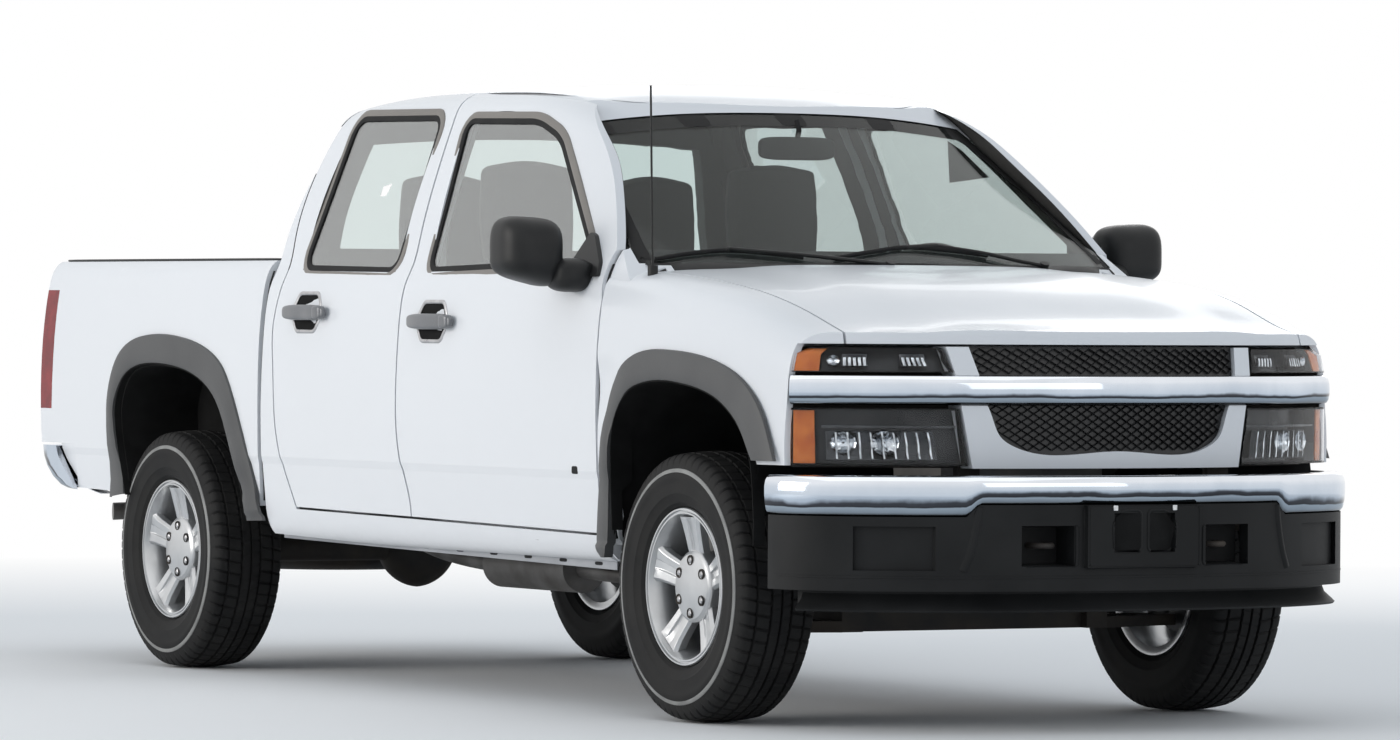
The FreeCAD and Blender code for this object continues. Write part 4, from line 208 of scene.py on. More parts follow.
finishInfo = {
    "whitePaint": {"slot": "white_paint", "colors": ((0.775, 0.79, 0.815), (0.79, 0.805, 0.83)), "drift": 0.5,
                   "rough": (0.26, 0.28), "grain": 420.0, "bump": 0.012, "shine": 0.3, "coat": 0.15, "coatRough": 0.03},
    "tyreRubber": {"slot": "tyre", "colors": ((0.010, 0.010, 0.0105), (0.021, 0.0205, 0.020)), "drift": 9.0,
                   "rough": (0.55, 0.80), "grain": 260.0, "bump": 0.10, "shine": 0.2},
    "tyreLine": {"slot": "tyre", "colors": ((0.20, 0.20, 0.195), (0.30, 0.30, 0.29)), "drift": 14.0,
                 "rough": (0.55, 0.70), "grain": 300.0, "bump": 0.08},
    "alloy": {"slot": "alloy", "colors": ((0.50, 0.51, 0.52), (0.62, 0.63, 0.64)), "drift": 7.0,
              "rough": (0.24, 0.36), "grain": 900.0, "bump": 0.03, "metal": 0.85, "coat": 0.5, "coatRough": 0.08},
    "chrome": {"slot": "chrome", "colors": ((0.78, 0.79, 0.80), (0.84, 0.85, 0.86)), "drift": 5.0,
               "rough": (0.05, 0.09), "grain": 60.0, "bump": 0.006, "metal": 1.0,
               # facing: a painted reflection with stops by how far up the normal points, road below, a dark horizon
               # band, sky above
               "facing": ((0.15, (0.12, 0.115, 0.11)), (0.34, (0.36, 0.42, 0.48)), (0.455, (0.50, 0.58, 0.66)),
                          (0.475, (0.05, 0.05, 0.055)), (0.515, (0.09, 0.095, 0.11)), (0.545, (0.60, 0.68, 0.78)),
                          (0.75, (0.92, 0.95, 1.0)))},
    "blackPlastic": {"slot": "black_plastic", "colors": ((0.016, 0.0165, 0.017), (0.026, 0.026, 0.026)), "drift": 6.0,
                     "rough": (0.34, 0.48), "grain": 1500.0, "bump": 0.12, "shine": 0.22},
    "flarePlastic": {"slot": "black_plastic", "colors": ((0.055, 0.056, 0.058), (0.074, 0.075, 0.076)), "drift": 5.0,
                     "rough": (0.42, 0.54), "grain": 1700.0, "bump": 0.14},
    "fasciaPlastic": {"slot": "black_plastic", "colors": ((0.011, 0.0115, 0.012), (0.019, 0.0195, 0.020)), "drift": 4.0,
                      "rough": (0.42, 0.55), "grain": 1500.0, "bump": 0.13, "shine": 0.15},
    "trimTaupe": {"slot": "black_plastic", "colors": ((0.185, 0.170, 0.155), (0.215, 0.198, 0.180)), "drift": 5.0,
                  "rough": (0.40, 0.52), "grain": 1500.0, "bump": 0.05},
    "sealRubber": {"slot": "black_plastic", "colors": ((0.010, 0.010, 0.011), (0.020, 0.020, 0.020)), "drift": 12.0,
                   "rough": (0.60, 0.80), "grain": 700.0, "bump": 0.08, "shine": 0.2},
    "frameSteel": {"slot": "dark_steel", "colors": ((0.022, 0.022, 0.023), (0.060, 0.050, 0.042)), "drift": 6.0,
                   "rough": (0.55, 0.85), "grain": 140.0, "bump": 0.15, "metal": 0.3},
    "exhaustSteel": {"slot": "exhaust_steel", "colors": ((0.12, 0.112, 0.105), (0.24, 0.235, 0.23)), "drift": 7.0,
                     "rough": (0.38, 0.65), "grain": 220.0, "bump": 0.10, "metal": 0.9},
    "castMetal": {"slot": "cast_metal", "colors": ((0.14, 0.14, 0.145), (0.23, 0.225, 0.22)), "drift": 8.0,
                  "rough": (0.50, 0.75), "grain": 320.0, "bump": 0.25, "metal": 0.8},
    "tankPlastic": {"slot": "tank_plastic", "colors": ((0.030, 0.030, 0.030), (0.055, 0.053, 0.050)), "drift": 5.0,
                    "rough": (0.50, 0.72), "grain": 420.0, "bump": 0.12},
    "cabinPlastic": {"slot": "cabin_plastic", "colors": ((0.080, 0.076, 0.072), (0.105, 0.100, 0.094)), "drift": 7.0,
                     "rough": (0.55, 0.72), "grain": 1300.0, "bump": 0.20},
    "lampBack": {"slot": "lamp", "colors": ((0.022, 0.023, 0.025), (0.050, 0.051, 0.054)), "drift": 12.0,
                 "rough": (0.14, 0.28), "grain": 500.0, "bump": 0.03, "metal": 0.3, "shine": 0.2},
    "lampSmoke": {"slot": "lamp", "colors": ((0.035, 0.037, 0.040), (0.080, 0.083, 0.088)), "drift": 14.0,
                  "rough": (0.12, 0.26), "grain": 500.0, "bump": 0.03, "metal": 0.85},
    "linerBlack": {"slot": "black_plastic", "colors": ((0.008, 0.008, 0.008), (0.016, 0.016, 0.016)), "drift": 8.0,
                   "rough": (0.75, 0.92), "grain": 300.0, "bump": 0.20, "shine": 0.1},
    "handleGrey": {"slot": "black_plastic", "colors": ((0.15, 0.155, 0.165), (0.20, 0.205, 0.215)), "drift": 9.0,
                   "rough": (0.26, 0.36), "grain": 1500.0, "bump": 0.05, "metal": 0.35},
    "weldGrey": {"slot": "white_paint", "colors": ((0.30, 0.31, 0.33), (0.40, 0.41, 0.43)), "drift": 5.0,
                 "rough": (0.35, 0.50), "grain": 500.0, "bump": 0.05},
    "reflector": {"slot": "chrome", "colors": ((0.34, 0.36, 0.38), (0.78, 0.80, 0.82)), "drift": 45.0,
                  "rough": (0.06, 0.14), "grain": 90.0, "bump": 0.05, "metal": 1.0},
    "amberLens": {"slot": "lamp", "colors": ((0.50, 0.115, 0.022), (0.66, 0.19, 0.040)), "drift": 25.0,
                  "rough": (0.10, 0.18), "grain": 160.0, "bump": 0.10, "shine": 0.3},
    "redLens": {"slot": "red_lens", "colors": ((0.17, 0.007, 0.011), (0.27, 0.013, 0.018)), "drift": 16.0,
                "rough": (0.10, 0.18), "grain": 120.0, "bump": 0.08, "shine": 0.3},
    "meshBlack": {"slot": "black_plastic", "colors": ((0.012, 0.012, 0.013), (0.022, 0.022, 0.023)), "drift": 12.0,
                  "rough": (0.35, 0.50), "grain": 600.0, "bump": 0.05},
    "bolt": {"slot": "alloy", "colors": ((0.42, 0.42, 0.43), (0.56, 0.56, 0.57)), "drift": 30.0,
             "rough": (0.22, 0.38), "grain": 500.0, "bump": 0.04, "metal": 1.0},
}


def addPaintedReflection(tree, place, drift, color, stops):
    # A painted reflection: the plating's colour goes by which way it faces, dark on its undersides as if mirroring the
    # road, a dark band as if mirroring the horizon, and pale blue to white above as if mirroring the sky.
    split = addNode(tree, "SeparateXYZ")
    turn = addNode(tree, "MapRange", {"From Min": -1.0})
    sway = addNode(tree, "Math", {1: noiseInfo["sway"]}, operation="MULTIPLY_ADD")
    reflectionTone = addNode(tree, "ValToRGB")
    setStops(reflectionTone, stops)
    blend = addNode(tree, "Mix", {"Factor": 1.0}, data_type="RGBA", blend_type="MULTIPLY")
    join(tree, (place.outputs["Normal"], split.inputs[0]), (split.outputs["Z"], turn.inputs["Value"]),
         (drift.outputs["Fac"], sway.inputs[0]), (turn.outputs[0], sway.inputs[2]), (sway.outputs[0], reflectionTone.inputs[0]),
         (color, blend.inputs["A"]), (reflectionTone.outputs[0], blend.inputs["B"]))
    return blend.outputs["Result"]


def makeFinish(name, info):
    material, tree, shader, place = startMaterial(name)
    drift = addNode(tree, "TexNoise", {"Scale": info["drift"], "Detail": noiseInfo["driftDetail"]})
    ramp = addNode(tree, "ValToRGB")
    setStops(ramp, zip(noiseInfo["between"], info["colors"]))
    smooth, rough = info["rough"]
    gloss = addNode(tree, "MapRange", {"To Min": smooth, "To Max": rough})
    grain = addNode(tree, "TexNoise", {"Scale": info["grain"], "Detail": noiseInfo["grainDetail"]})
    bump = addNode(tree, "Bump", {"Strength": info["bump"], "Distance": noiseInfo["grainHigh"]})
    color = ramp.outputs[0]
    # Chrome's colour is multiplied by a painted reflection.
    if "facing" in info:
        color = addPaintedReflection(tree, place, drift, color, info["facing"])
    setInputs(shader, {"Specular IOR Level": info.get("shine", 0.5), "Metallic": info.get("metal", 0.0),
                       "Coat Weight": info.get("coat", 0.0), "Coat Roughness": info.get("coatRough", 0.03)})
    join(tree, (place.outputs["Object"], drift.inputs["Vector"]), (place.outputs["Object"], grain.inputs["Vector"]),
         (drift.outputs["Fac"], ramp.inputs[0]), (drift.outputs["Fac"], gloss.inputs["Value"]),
         (color, shader.inputs["Base Color"]), (gloss.outputs[0], shader.inputs["Roughness"]),
         (grain.outputs["Fac"], bump.inputs["Height"]), (bump.outputs[0], shader.inputs["Normal"]))
    material["slot"] = info["slot"]
    return material


glassInfo = {
    "windowGlass": {"slot": "glass", "color": (0.72, 0.79, 0.78), "rough": 0.0, "bend": 1.22},
    "sideGlass": {"slot": "glass", "color": (0.78, 0.84, 0.83), "rough": 0.0, "bend": 1.3, "mirror": 1.9},
    "lampGlass": {"slot": "lamp", "color": (0.93, 0.95, 0.97), "rough": 0.02, "bend": 1.2},
}


def makeGlass(name, info):
    # A clear coat of faint waves, so the reflections swim a little.
    material, tree, shader, place = startMaterial(name)
    setInputs(shader, {"Base Color": (*info["color"], 1), "Roughness": info["rough"], "Transmission Weight": 1.0,
                       "IOR": info["bend"]})
    if "mirror" in info:
        setInputs(shader, {"Coat Weight": 1.0, "Coat IOR": info["mirror"], "Coat Roughness": 0.0})
    wave = addNode(tree, "TexNoise", {"Scale": 3.0})
    bump = addNode(tree, "Bump", {"Strength": 0.02, "Distance": 0.002})
    join(tree, (place.outputs["Object"], wave.inputs["Vector"]), (wave.outputs["Fac"], bump.inputs["Height"]),
         (bump.outputs[0], shader.inputs["Normal"]))
    material["slot"] = info["slot"]
    return material


clothInfo = {"slot": "seat_fabric", "colors": ((0.045, 0.045, 0.046), (0.080, 0.079, 0.078)), "weave": 420.0,
             "rough": 0.92, "sheen": 0.12}


def makeCloth(name, info):
    # Two crossed sets of fine waves make the weave.
    material, tree, shader, place = startMaterial(name)
    setInputs(shader, {"Roughness": info["rough"], "Sheen Weight": info["sheen"]})
    cross = addNode(tree, "Math", operation="MULTIPLY")
    for index, direction in enumerate("XZ"):
        wave = addNode(tree, "TexWave", {"Scale": info["weave"], "Distortion": 0.6}, bands_direction=direction)
        join(tree, (place.outputs["Object"], wave.inputs["Vector"]), (wave.outputs["Fac"], cross.inputs[index]))
    ramp = addNode(tree, "ValToRGB")
    setStops(ramp, zip((0, 1), info["colors"]))
    bump = addNode(tree, "Bump", {"Strength": 0.2, "Distance": 0.0008})
    join(tree, (cross.outputs[0], ramp.inputs[0]), (ramp.outputs[0], shader.inputs["Base Color"]),
         (cross.outputs[0], bump.inputs["Height"]), (bump.outputs[0], shader.inputs["Normal"]))
    material["slot"] = info["slot"]
    return material


# Small tools for making meshes

def addPiece(name, points, faces, finish, body, sharp, bevel=0.0, rounds=0):
    # A mesh that rides on a body. Edges beyond the sharp angle stay hard, and may get a bevel.
    mesh = bpy.data.meshes.new(name)
    mesh.from_pydata([tuple(point) for point in points], [], faces)
    shell = bmesh.new()
    shell.from_mesh(mesh)
    bmesh.ops.recalc_face_normals(shell, faces=shell.faces)
    shell.to_mesh(mesh)
    shell.free()
    mesh.update()
    mesh.polygons.foreach_set("use_smooth", [True] * len(mesh.polygons))
    mesh.set_sharp_from_angle(angle=math.radians(sharp))
    mesh.materials.append(finishes[finish])
    piece = bpy.data.objects.new(name, mesh)
    scene.collection.objects.link(piece)
    if bevel > 0:
        edge = piece.modifiers.new("edge", "BEVEL")
        edge.width = bevel
        edge.segments = 2
        edge.limit_method = "ANGLE"
    if rounds > 0:
        smooth = piece.modifiers.new("smooth", "SUBSURF")
        smooth.levels = smooth.render_levels = rounds
    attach(piece, body)
    return piece


def gridFaces(rows, columns, closedRows=False, closedColumns=False):
    faces = []
    for row in range(rows if closedRows else rows - 1):
        for column in range(columns if closedColumns else columns - 1):
            nextRow = (row + 1) % rows
            nextColumn = (column + 1) % columns
            faces.append((row * columns + column, row * columns + nextColumn,
                          nextRow * columns + nextColumn, nextRow * columns + column))
    return faces


def turned(name, outline, hub, side, finish, body, steps, sharp):
    # Turns a closed outline of (across, radius) about the axle.
    points = []
    for step in range(steps):
        angle = 2 * math.pi * step / steps
        for across, radius in outline:
            points.append((side * (hub.x + across), hub.y + radius * math.cos(angle), hub.z + radius * math.sin(angle)))
    return addPiece(name, points, gridFaces(steps, len(outline), True, True), finish, body, sharp)


def smoothRun(points, steps):
    # A smooth run through a few points, as a chain of Bezier pieces.
    run = []
    points = [Vector(point) for point in points]
    for index in range(len(points) - 1):
        before = points[max(index - 1, 0)]
        start, end = points[index], points[index + 1]
        after = points[min(index + 2, len(points) - 1)]
        reach = (end - start).length / 3
        leave = (end - before).normalized() * reach
        arrive = (after - start).normalized() * reach
        run += interpolate_bezier(start, start + leave, end - arrive, end, steps + 1)[:-1]
    return run + [points[-1]]


def flatLoop(corners, radius):
    # A closed flat outline with each corner turned on a radius. The share is that of a round arc.
    loop = []
    share, steps = 0.45, 5
    corners = [Vector((*corner, 0)) for corner in corners]
    for index, corner in enumerate(corners):
        before = (corners[index - 1] - corner).normalized() * radius
        after = (corners[(index + 1) % len(corners)] - corner).normalized() * radius
        loop += interpolate_bezier(corner + before, corner + before * share, corner + after * share, corner + after,
                                   steps + 1)
    return [(spot.x, spot.y) for spot in loop]


def surfaceOf(*names):
    # The faces of some CAD nodes, for rays to meet.
    points, faces = [], []
    for name in names:
        mesh = nodes[name].data
        start = len(points)
        points += [vertex.co.copy() for vertex in mesh.vertices]
        faces += [[start + index for index in polygon.vertices] for polygon in mesh.polygons]
    return BVHTree.FromPolygons(points, faces)


def hitFrom(tree, origin, direction, fallback):
    spot = tree.ray_cast(Vector(origin), Vector(direction))[0]
    return spot if spot is not None else fallback


def fromSide(tree, side, y, z):
    # The skin and its outward normal at a place on the truck's side, or two times None.
    spot, normal = tree.ray_cast(Vector((side * 1.5, y, z)), Vector((-side, 0, 0)))[:2]
    if spot is not None and normal.x * side <= 0:
        normal = -normal
    return spot, normal


def sideBand(name, path, section, tree, side, finish, body, closed=True, cover=0.7, probe=0.0, pane=False):
    # A band along a path of (y, z) on the truck's side. The section gives (across, out) for each of its points.
    # It lies on the tangent plane of the skin, looked for a little way beside the path.
    count = len(path)
    points = []
    hit, normal = Vector((side * cover, *path[0])), Vector((side, 0, 0))
    look = Vector(path[0])
    for index, (y, z) in enumerate(path):
        before = Vector(path[index - 1] if index or closed else path[0])
        after = Vector(path[(index + 1) % count] if index < count - 1 or closed else path[-1])
        run = (after - before).normalized()
        beside = Vector((run.y, -run.x))
        spot = Vector((y, z)) + beside * probe
        found, way = fromSide(tree, side, *spot)
        if found is not None and found.x * side > 0.4:
            hit, normal, look = found, way, spot
        lean = max(abs(normal.x), 0.4) * side
        for across, out in section:
            spot = Vector((y, z)) + beside * across
            x = hit.x
            if probe:
                x -= (normal.y * (spot.x - look.x) + normal.z * (spot.y - look.y)) / lean
            points.append((x + side * out, spot.x, spot.y))
    columns = len(section)
    faces = gridFaces(count, columns, closed, not pane)
    if pane:
        faces += [tuple(range(0, count * columns, columns)), tuple(range(count * columns - 1, 0, -columns))]
    return addPiece(name, points, faces, finish, body, 40.0)


def rod(name, path, radius, finish, body, sides=8):
    # A round bar along a path.
    path = [Vector(point) for point in path]
    points = []
    for index, point in enumerate(path):
        run = (path[min(index + 1, len(path) - 1)] - path[max(index - 1, 0)]).normalized()
        across = run.orthogonal().normalized()
        if index:
            across = (lastAcross - run * lastAcross.dot(run)).normalized()
        lastAcross = across
        beside = run.cross(across)
        for step in range(sides):
            angle = 2 * math.pi * step / sides
            points.append(point + (across * math.cos(angle) + beside * math.sin(angle)) * radius)
    faces = gridFaces(len(path), sides, False, True)
    faces += [tuple(range(sides))[::-1], tuple(range(len(points) - sides, len(points)))]
    return addPiece(name, points, faces, finish, body, 50.0)


def block(name, low, high, finish, body, bevel):
    points = [(x, y, z) for x in (low[0], high[0]) for y in (low[1], high[1]) for z in (low[2], high[2])]
    faces = [(0, 1, 3, 2), (4, 6, 7, 5), (0, 4, 5, 1), (2, 3, 7, 6), (0, 2, 6, 4), (1, 5, 7, 3)]
    return addPiece(name, points, faces, finish, body, 30.0, bevel)


def moved(corner, x, y=0.0):
    return corner[0] + x, corner[1] + y, corner[2]


def slab(name, front, back, finish, body, sharp, bevel=0.0):
    # A plate between two outlines with the same number of points.
    count = len(front)
    faces = [tuple(range(count)), tuple(range(2 * count - 1, count - 1, -1))]
    faces += [(i, i + count, (i + 1) % count + count, (i + 1) % count) for i in range(count)]
    return addPiece(name, front + back, faces, finish, body, sharp, bevel)


# Wheels: a tyre with a cut tread, and a rim with five grooved spokes

tyreInfo = {
    "line": ((0.1110, 0.3005), (0.1184, 0.3020), (0.1176, 0.3095), (0.1160, 0.3120), (0.1100, 0.3130)),
    "steps": 432, "grooves": (0.030, 0.072), "grooveHalf": 0.0045, "grooveFloor": 0.6, "grooveDeep": 0.008,
    "middleHalf": 0.004, "middleFloor": 0.625, "shoulder": (-0.094, -0.086), "crown": 0.358, "crownFall": 0.9,
    # the cross cuts: one step in every seven, shifted beyond the inner grooves and leaning across the tread
    "blockDeep": 0.006, "innerShare": 0.7, "blockRun": 7, "blockShift": 3, "plainMiddle": 0.004,
    "bands": (0.030, 0.060), "lean": 0.016, "leanRate": 45,
    "outline": ((0.088, 0.1905), (0.088, 0.208), (0.104, 0.222), (0.110, 0.238), (0.1125, 0.243), (0.1145, 0.246),
                (0.1165, 0.268), (0.1168, 0.280), (0.1180, 0.284), (0.1180, 0.300), (0.1160, 0.304), (0.1125, 0.322),
                (0.1080, 0.336), (0.1010, 0.345)),
}


def treadRun(info):
    # The tread from one shoulder to the other, as (across, radius) with grooves that run round it.
    half = info["grooveHalf"]
    grooves = [(-spot, half) for spot in reversed(info["grooves"])] + [(0.0, info["middleHalf"])]
    grooves += [(spot, half) for spot in info["grooves"]]
    run = [(across, 0.0) for across in info["shoulder"]]
    for spot, half in grooves:
        floor = half * (info["grooveFloor"] if spot else info["middleFloor"])
        run += [(spot - half, 0.0), (spot - floor, 1.0), (spot + floor, 1.0), (spot + half, 0.0)]
    run += [(-across, 0.0) for across in reversed(info["shoulder"])]
    crown, fall, deep = info["crown"], info["crownFall"], info["grooveDeep"]
    return [(across, crown - fall * across ** 2 - cut * deep) for across, cut in run]


def addTyre(name, hub, side, body, info):
    wall = list(info["outline"])
    tread = treadRun(info)
    outline = wall + list(reversed(tread)) + [(-across, radius) for across, radius in reversed(wall)]
    first, last = len(wall), len(wall) + len(tread)
    innerBand, outerBand = info["bands"]
    points = []
    for step in range(info["steps"]):
        for index, (across, radius) in enumerate(outline):
            turn = 2 * math.pi * step / info["steps"]
            if first - 2 <= index < last + 2:
                band = abs(across)
                shift = info["blockShift"] if band > innerBand else 0
                if (step + shift) % info["blockRun"] == 0 and band > info["plainMiddle"]:
                    radius -= info["blockDeep"] * (1.0 if band > outerBand else info["innerShare"])
                turn += info["lean"] * math.sin(across * info["leanRate"])
            points.append((side * (hub.x + across), hub.y + radius * math.cos(turn), hub.z + radius * math.sin(turn)))
    faces = gridFaces(info["steps"], len(outline), True, True)
    turned(name + ".line", info["line"], hub, side, "tyreLine", body, 128, 40.0)
    return addPiece(name, points, faces, "tyreRubber", body, 28.0)


rimInfo = {
    "spokes": 5, "firstSpoke": 90.0, "spokeThick": 0.030, "boltCircle": 0.0699, "bolts": 6, "firstBolt": 30.0,
    "barrel": ((0.088, 0.2075), (0.094, 0.2095), (0.098, 0.2070), (0.098, 0.2030), (0.092, 0.2015), (0.092, 0.1985),
               (0.0965, 0.1970), (0.0965, 0.1930), (0.088, 0.1895), (0.078, 0.1860),
               (0.060, 0.1800), (0.020, 0.1760), (-0.060, 0.1760), (-0.092, 0.1830), (-0.098, 0.1980), (-0.098, 0.2060),
               (-0.088, 0.2075), (-0.088, 0.1900), (-0.060, 0.1815), (0.020, 0.1815), (0.088, 0.1900)),
    # along the spoke: radius, half width, face height, groove depth
    "spoke": ((0.070, 0.036, 0.060, 0.000), (0.094, 0.0365, 0.066, 0.006), (0.120, 0.0385, 0.072, 0.0085),
              (0.150, 0.0420, 0.079, 0.0085), (0.170, 0.0465, 0.083, 0.0060), (0.184, 0.0520, 0.086, 0.000)),
    "hub": ((0.020, 0.030), (0.020, 0.0945), (0.062, 0.0965), (0.0665, 0.0955), (0.070, 0.0925), (0.0715, 0.0895),
            (0.0745, 0.0860), (0.0790, 0.0500), (0.0805, 0.0200), (0.0808, 0.0004), (0.050, 0.0004), (0.050, 0.030)),
    "well": ((0.0600, 0.0004), (0.0600, 0.0140), (0.0785, 0.0140), (0.0800, 0.0132), (0.0798, 0.0118), (0.0772, 0.0112),
             (0.0770, 0.0004)),
    "nut": ((0.0700, 0.0004), (0.0700, 0.0090), (0.0785, 0.0086), (0.0802, 0.0062), (0.0806, 0.0004)),
    "disc": ((-0.018, 0.030), (-0.018, 0.140), (-0.004, 0.142), (-0.004, 0.096), (0.018, 0.090), (0.018, 0.030)),
}


def addSpoke(name, hub, side, angle, body, info):
    # Each station goes over edge, shoulder and groove to the other edge, with a flat back.
    points = []
    for radius, half, face, groove in info["spoke"]:
        near = [(half, face - info["spokeThick"]), (half, face - 0.008), (half * 0.80, face),
                (half * 0.30, face - groove * 0.2), (half * 0.24, face - groove)]
        for beside, height in [(-beside, height) for beside, height in near] + near[::-1]:
            y = math.cos(angle) * radius - math.sin(angle) * beside
            z = math.sin(angle) * radius + math.cos(angle) * beside
            points.append((side * (hub.x + height), hub.y + y, hub.z + z))
    columns = 2 * len(near)
    faces = gridFaces(len(info["spoke"]), columns, False, True)
    faces += [tuple(range(columns)), tuple(range(len(points) - columns, len(points)))]
    return addPiece(name, points, faces, "alloy", body, 38.0, 0.0012)


def addRim(name, hub, side, body, info):
    rim = turned(name, info["barrel"], hub, side, "alloy", body, 96, 32.0)
    turned(name + ".hub", info["hub"], hub, side, "alloy", body, 96, 30.0)
    for number in range(info["spokes"]):
        angle = math.radians(info["firstSpoke"] + 360 / info["spokes"] * number)
        addSpoke(f"{name}.spoke{number}", hub, side, angle, body, info)
    for number in range(info["bolts"]):
        angle = math.radians(info["firstBolt"] + 360 / info["bolts"] * number)
        spot = hub + Vector((0, math.cos(angle), math.sin(angle))) * info["boltCircle"]
        turned(f"{name}.well{number}", info["well"], spot, side, "frameSteel", body, 28, 30.0)
        turned(f"{name}.nut{number}", info["nut"], spot, side, "bolt", body, 6, 25.0)
    turned(name + ".disc", info["disc"], hub, side, "castMetal", body, 72, 30.0)
    return rim


def addWheels():
    for end, hub in (("front", frontHub), ("rear", rearHub)):
        for sideName, side in sides.items():
            body = f"wheel_{end}_{sideName}"
            center = Vector((abs(hub.x), hub.y, hub.z))
            tyre = addTyre(f"tyre.{end}.{sideName}", center, side, body, tyreInfo)
            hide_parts(f"tyre_{end}_{sideName}")
            rim = addRim(f"rim.{end}.{sideName}", center, side, body, rimInfo)
            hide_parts(f"rim_{end}_{sideName}")
    print("wheels done")


# Flares, window trim and seals: bands laid on the truck's sides

flareInfo = {
    "front": {
        "outer": ((0.392, 0.424), (0.424, 0.446), (0.430, 0.490), (0.416, 0.630), (0.378, 0.818), (0.311, 0.926),
                  (0.208, 0.975), (0.044, 0.983), (-0.177, 0.962), (-0.346, 0.912), (-0.454, 0.831), (-0.529, 0.700)),
        "inner": ((0.362, 0.424), (0.358, 0.446), (0.354, 0.490), (0.350, 0.632), (0.333, 0.779), (0.261, 0.865),
                  (0.139, 0.899), (-0.026, 0.898), (-0.215, 0.866), (-0.339, 0.803), (-0.414, 0.714), (-0.424, 0.700)),
        "on": ("fender_left", "fender_right", "door_front_left", "door_front_right"),
    },
    "rear": {
        "outer": ((2.498, 0.463), (2.536, 0.519), (2.640, 0.724), (2.758, 0.888), (2.867, 0.953), (3.054, 0.994),
                  (3.296, 1.005), (3.473, 0.974), (3.560, 0.905), (3.599, 0.775), (3.573, 0.505)),
        "inner": ((2.594, 0.460), (2.612, 0.519), (2.677, 0.632), (2.776, 0.779), (2.875, 0.853), (3.034, 0.901),
                  (3.257, 0.919), (3.416, 0.902), (3.497, 0.854), (3.537, 0.759), (3.456, 0.517)),
        "on": ("bed", "cab"),
    },
}
# share of the way from the outer to the inner edge, and out from the body
flareSection = ((0.0, -0.002), (0.02, 0.007), (0.22, 0.012), (0.60, 0.0155), (0.90, 0.0165), (1.0, 0.014),
                (1.01, -0.012))
flareInside, flareBeyond = 0.852, 0.858


def addFlare(name, side, info):
    # Seven points from the body out over the crown and down into the arch.
    tree = surfaceOf(*info["on"])
    outer, inner = (smoothRun([(0, frontAxle + y, z) for y, z in info[edge]], 5) for edge in ("outer", "inner"))
    points = []
    for start, end in zip(outer, inner):
        base = fromSide(tree, side, start.y, start.z)[0]
        skin = max(abs(base.x), flareInside) if base is not None else flareBeyond
        for share, out in flareSection:
            spot = start.lerp(end, share)
            points.append((side * (skin + out), spot.y, spot.z))
    return addPiece(name, points, gridFaces(len(outer), len(flareSection)), "flarePlastic", "root", 40.0)


windowInfo = {
    "front": {"corners": ((0.560, 1.214), (1.546, 1.190), (1.601, 1.626), (1.168, 1.617), (1.017, 1.569)),
              "round": 0.045},
    "rear": {"corners": ((1.745, 1.190), (2.354, 1.198), (2.325, 1.646), (1.755, 1.638)), "round": 0.055},
}
# across the edge (outside is positive) and out from the glass
trimSection = ((0.002, 0.004), (0.002, 0.0112), (0.006, 0.0124), (0.016, 0.0124), (0.021, 0.0104), (0.021, 0.002))
sealSection = ((-0.014, -0.002), (-0.014, 0.0086), (-0.011, 0.0102), (-0.002, 0.0112), (0.0025, 0.0112),
               (0.0025, 0.002))
paneSection = ((-0.008, 0.0020), (-0.008, 0.0060))
windowProbe = -0.035


def addWindowTrim(end, side, sideName, info):
    corners = [(frontAxle + y, z) for y, z in info["corners"]]
    loop = flatLoop(corners, info["round"])
    tree = surfaceOf(f"door_{end}_glass_{sideName}")
    for kind, section, finish in (("Trim", trimSection, "trimTaupe"), ("Seal", sealSection, "sealRubber"),
                                  ("Pane", paneSection, "sideGlass")):
        band = sideBand(f"window{kind}.{end}.{sideName}", loop, section, tree, side, finish, f"door_{end}_{sideName}",
                        True, 0.7, windowProbe, kind == "Pane")
    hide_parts(f"door_{end}_glass_{sideName}")


def addSideTrim():
    for sideName, side in sides.items():
        first = addFlare(f"flare.front.{sideName}", side, flareInfo["front"])
        addFlare(f"flare.rear.{sideName}", side, flareInfo["rear"])
        if side > 0:
            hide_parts("wheel_flares")
        for end, info in windowInfo.items():
            addWindowTrim(end, side, sideName, info)
    print("side trim done")


# Grille: a diamond lattice laid on the plain panels behind the nose

openings = {
    "high": {"low": 0.926, "high": 0.996, "half": 0.392, "leanFrom": 0.915, "lean": 0.19},
    "low": {"low": 0.730, "high": 0.846, "half": 0.372, "leanFrom": 0.80, "lean": 0.55, "rounding": 0.030,
            "roundFrom": 0.765, "roundHigh": 0.035},
}
latticeInfo = {"cellWide": 0.034, "cellHigh": 0.021, "wire": 0.0030, "ahead": 0.004}


def insideLow(x, z):
    # The low opening: a flat top, leaning sides and a rounded floor.
    info = openings["low"]
    if not info["low"] <= z <= info["high"]:
        return False
    half = info["half"] - max(0.0, info["leanFrom"] - z) * info["lean"]
    return abs(x) < half - info["rounding"] * max(0.0, (info["roundFrom"] - z) / info["roundHigh"]) ** 2


def insideHigh(x, z):
    info = openings["high"]
    return info["low"] < z < info["high"] and abs(x) < info["half"] + (z - info["leanFrom"]) * info["lean"]


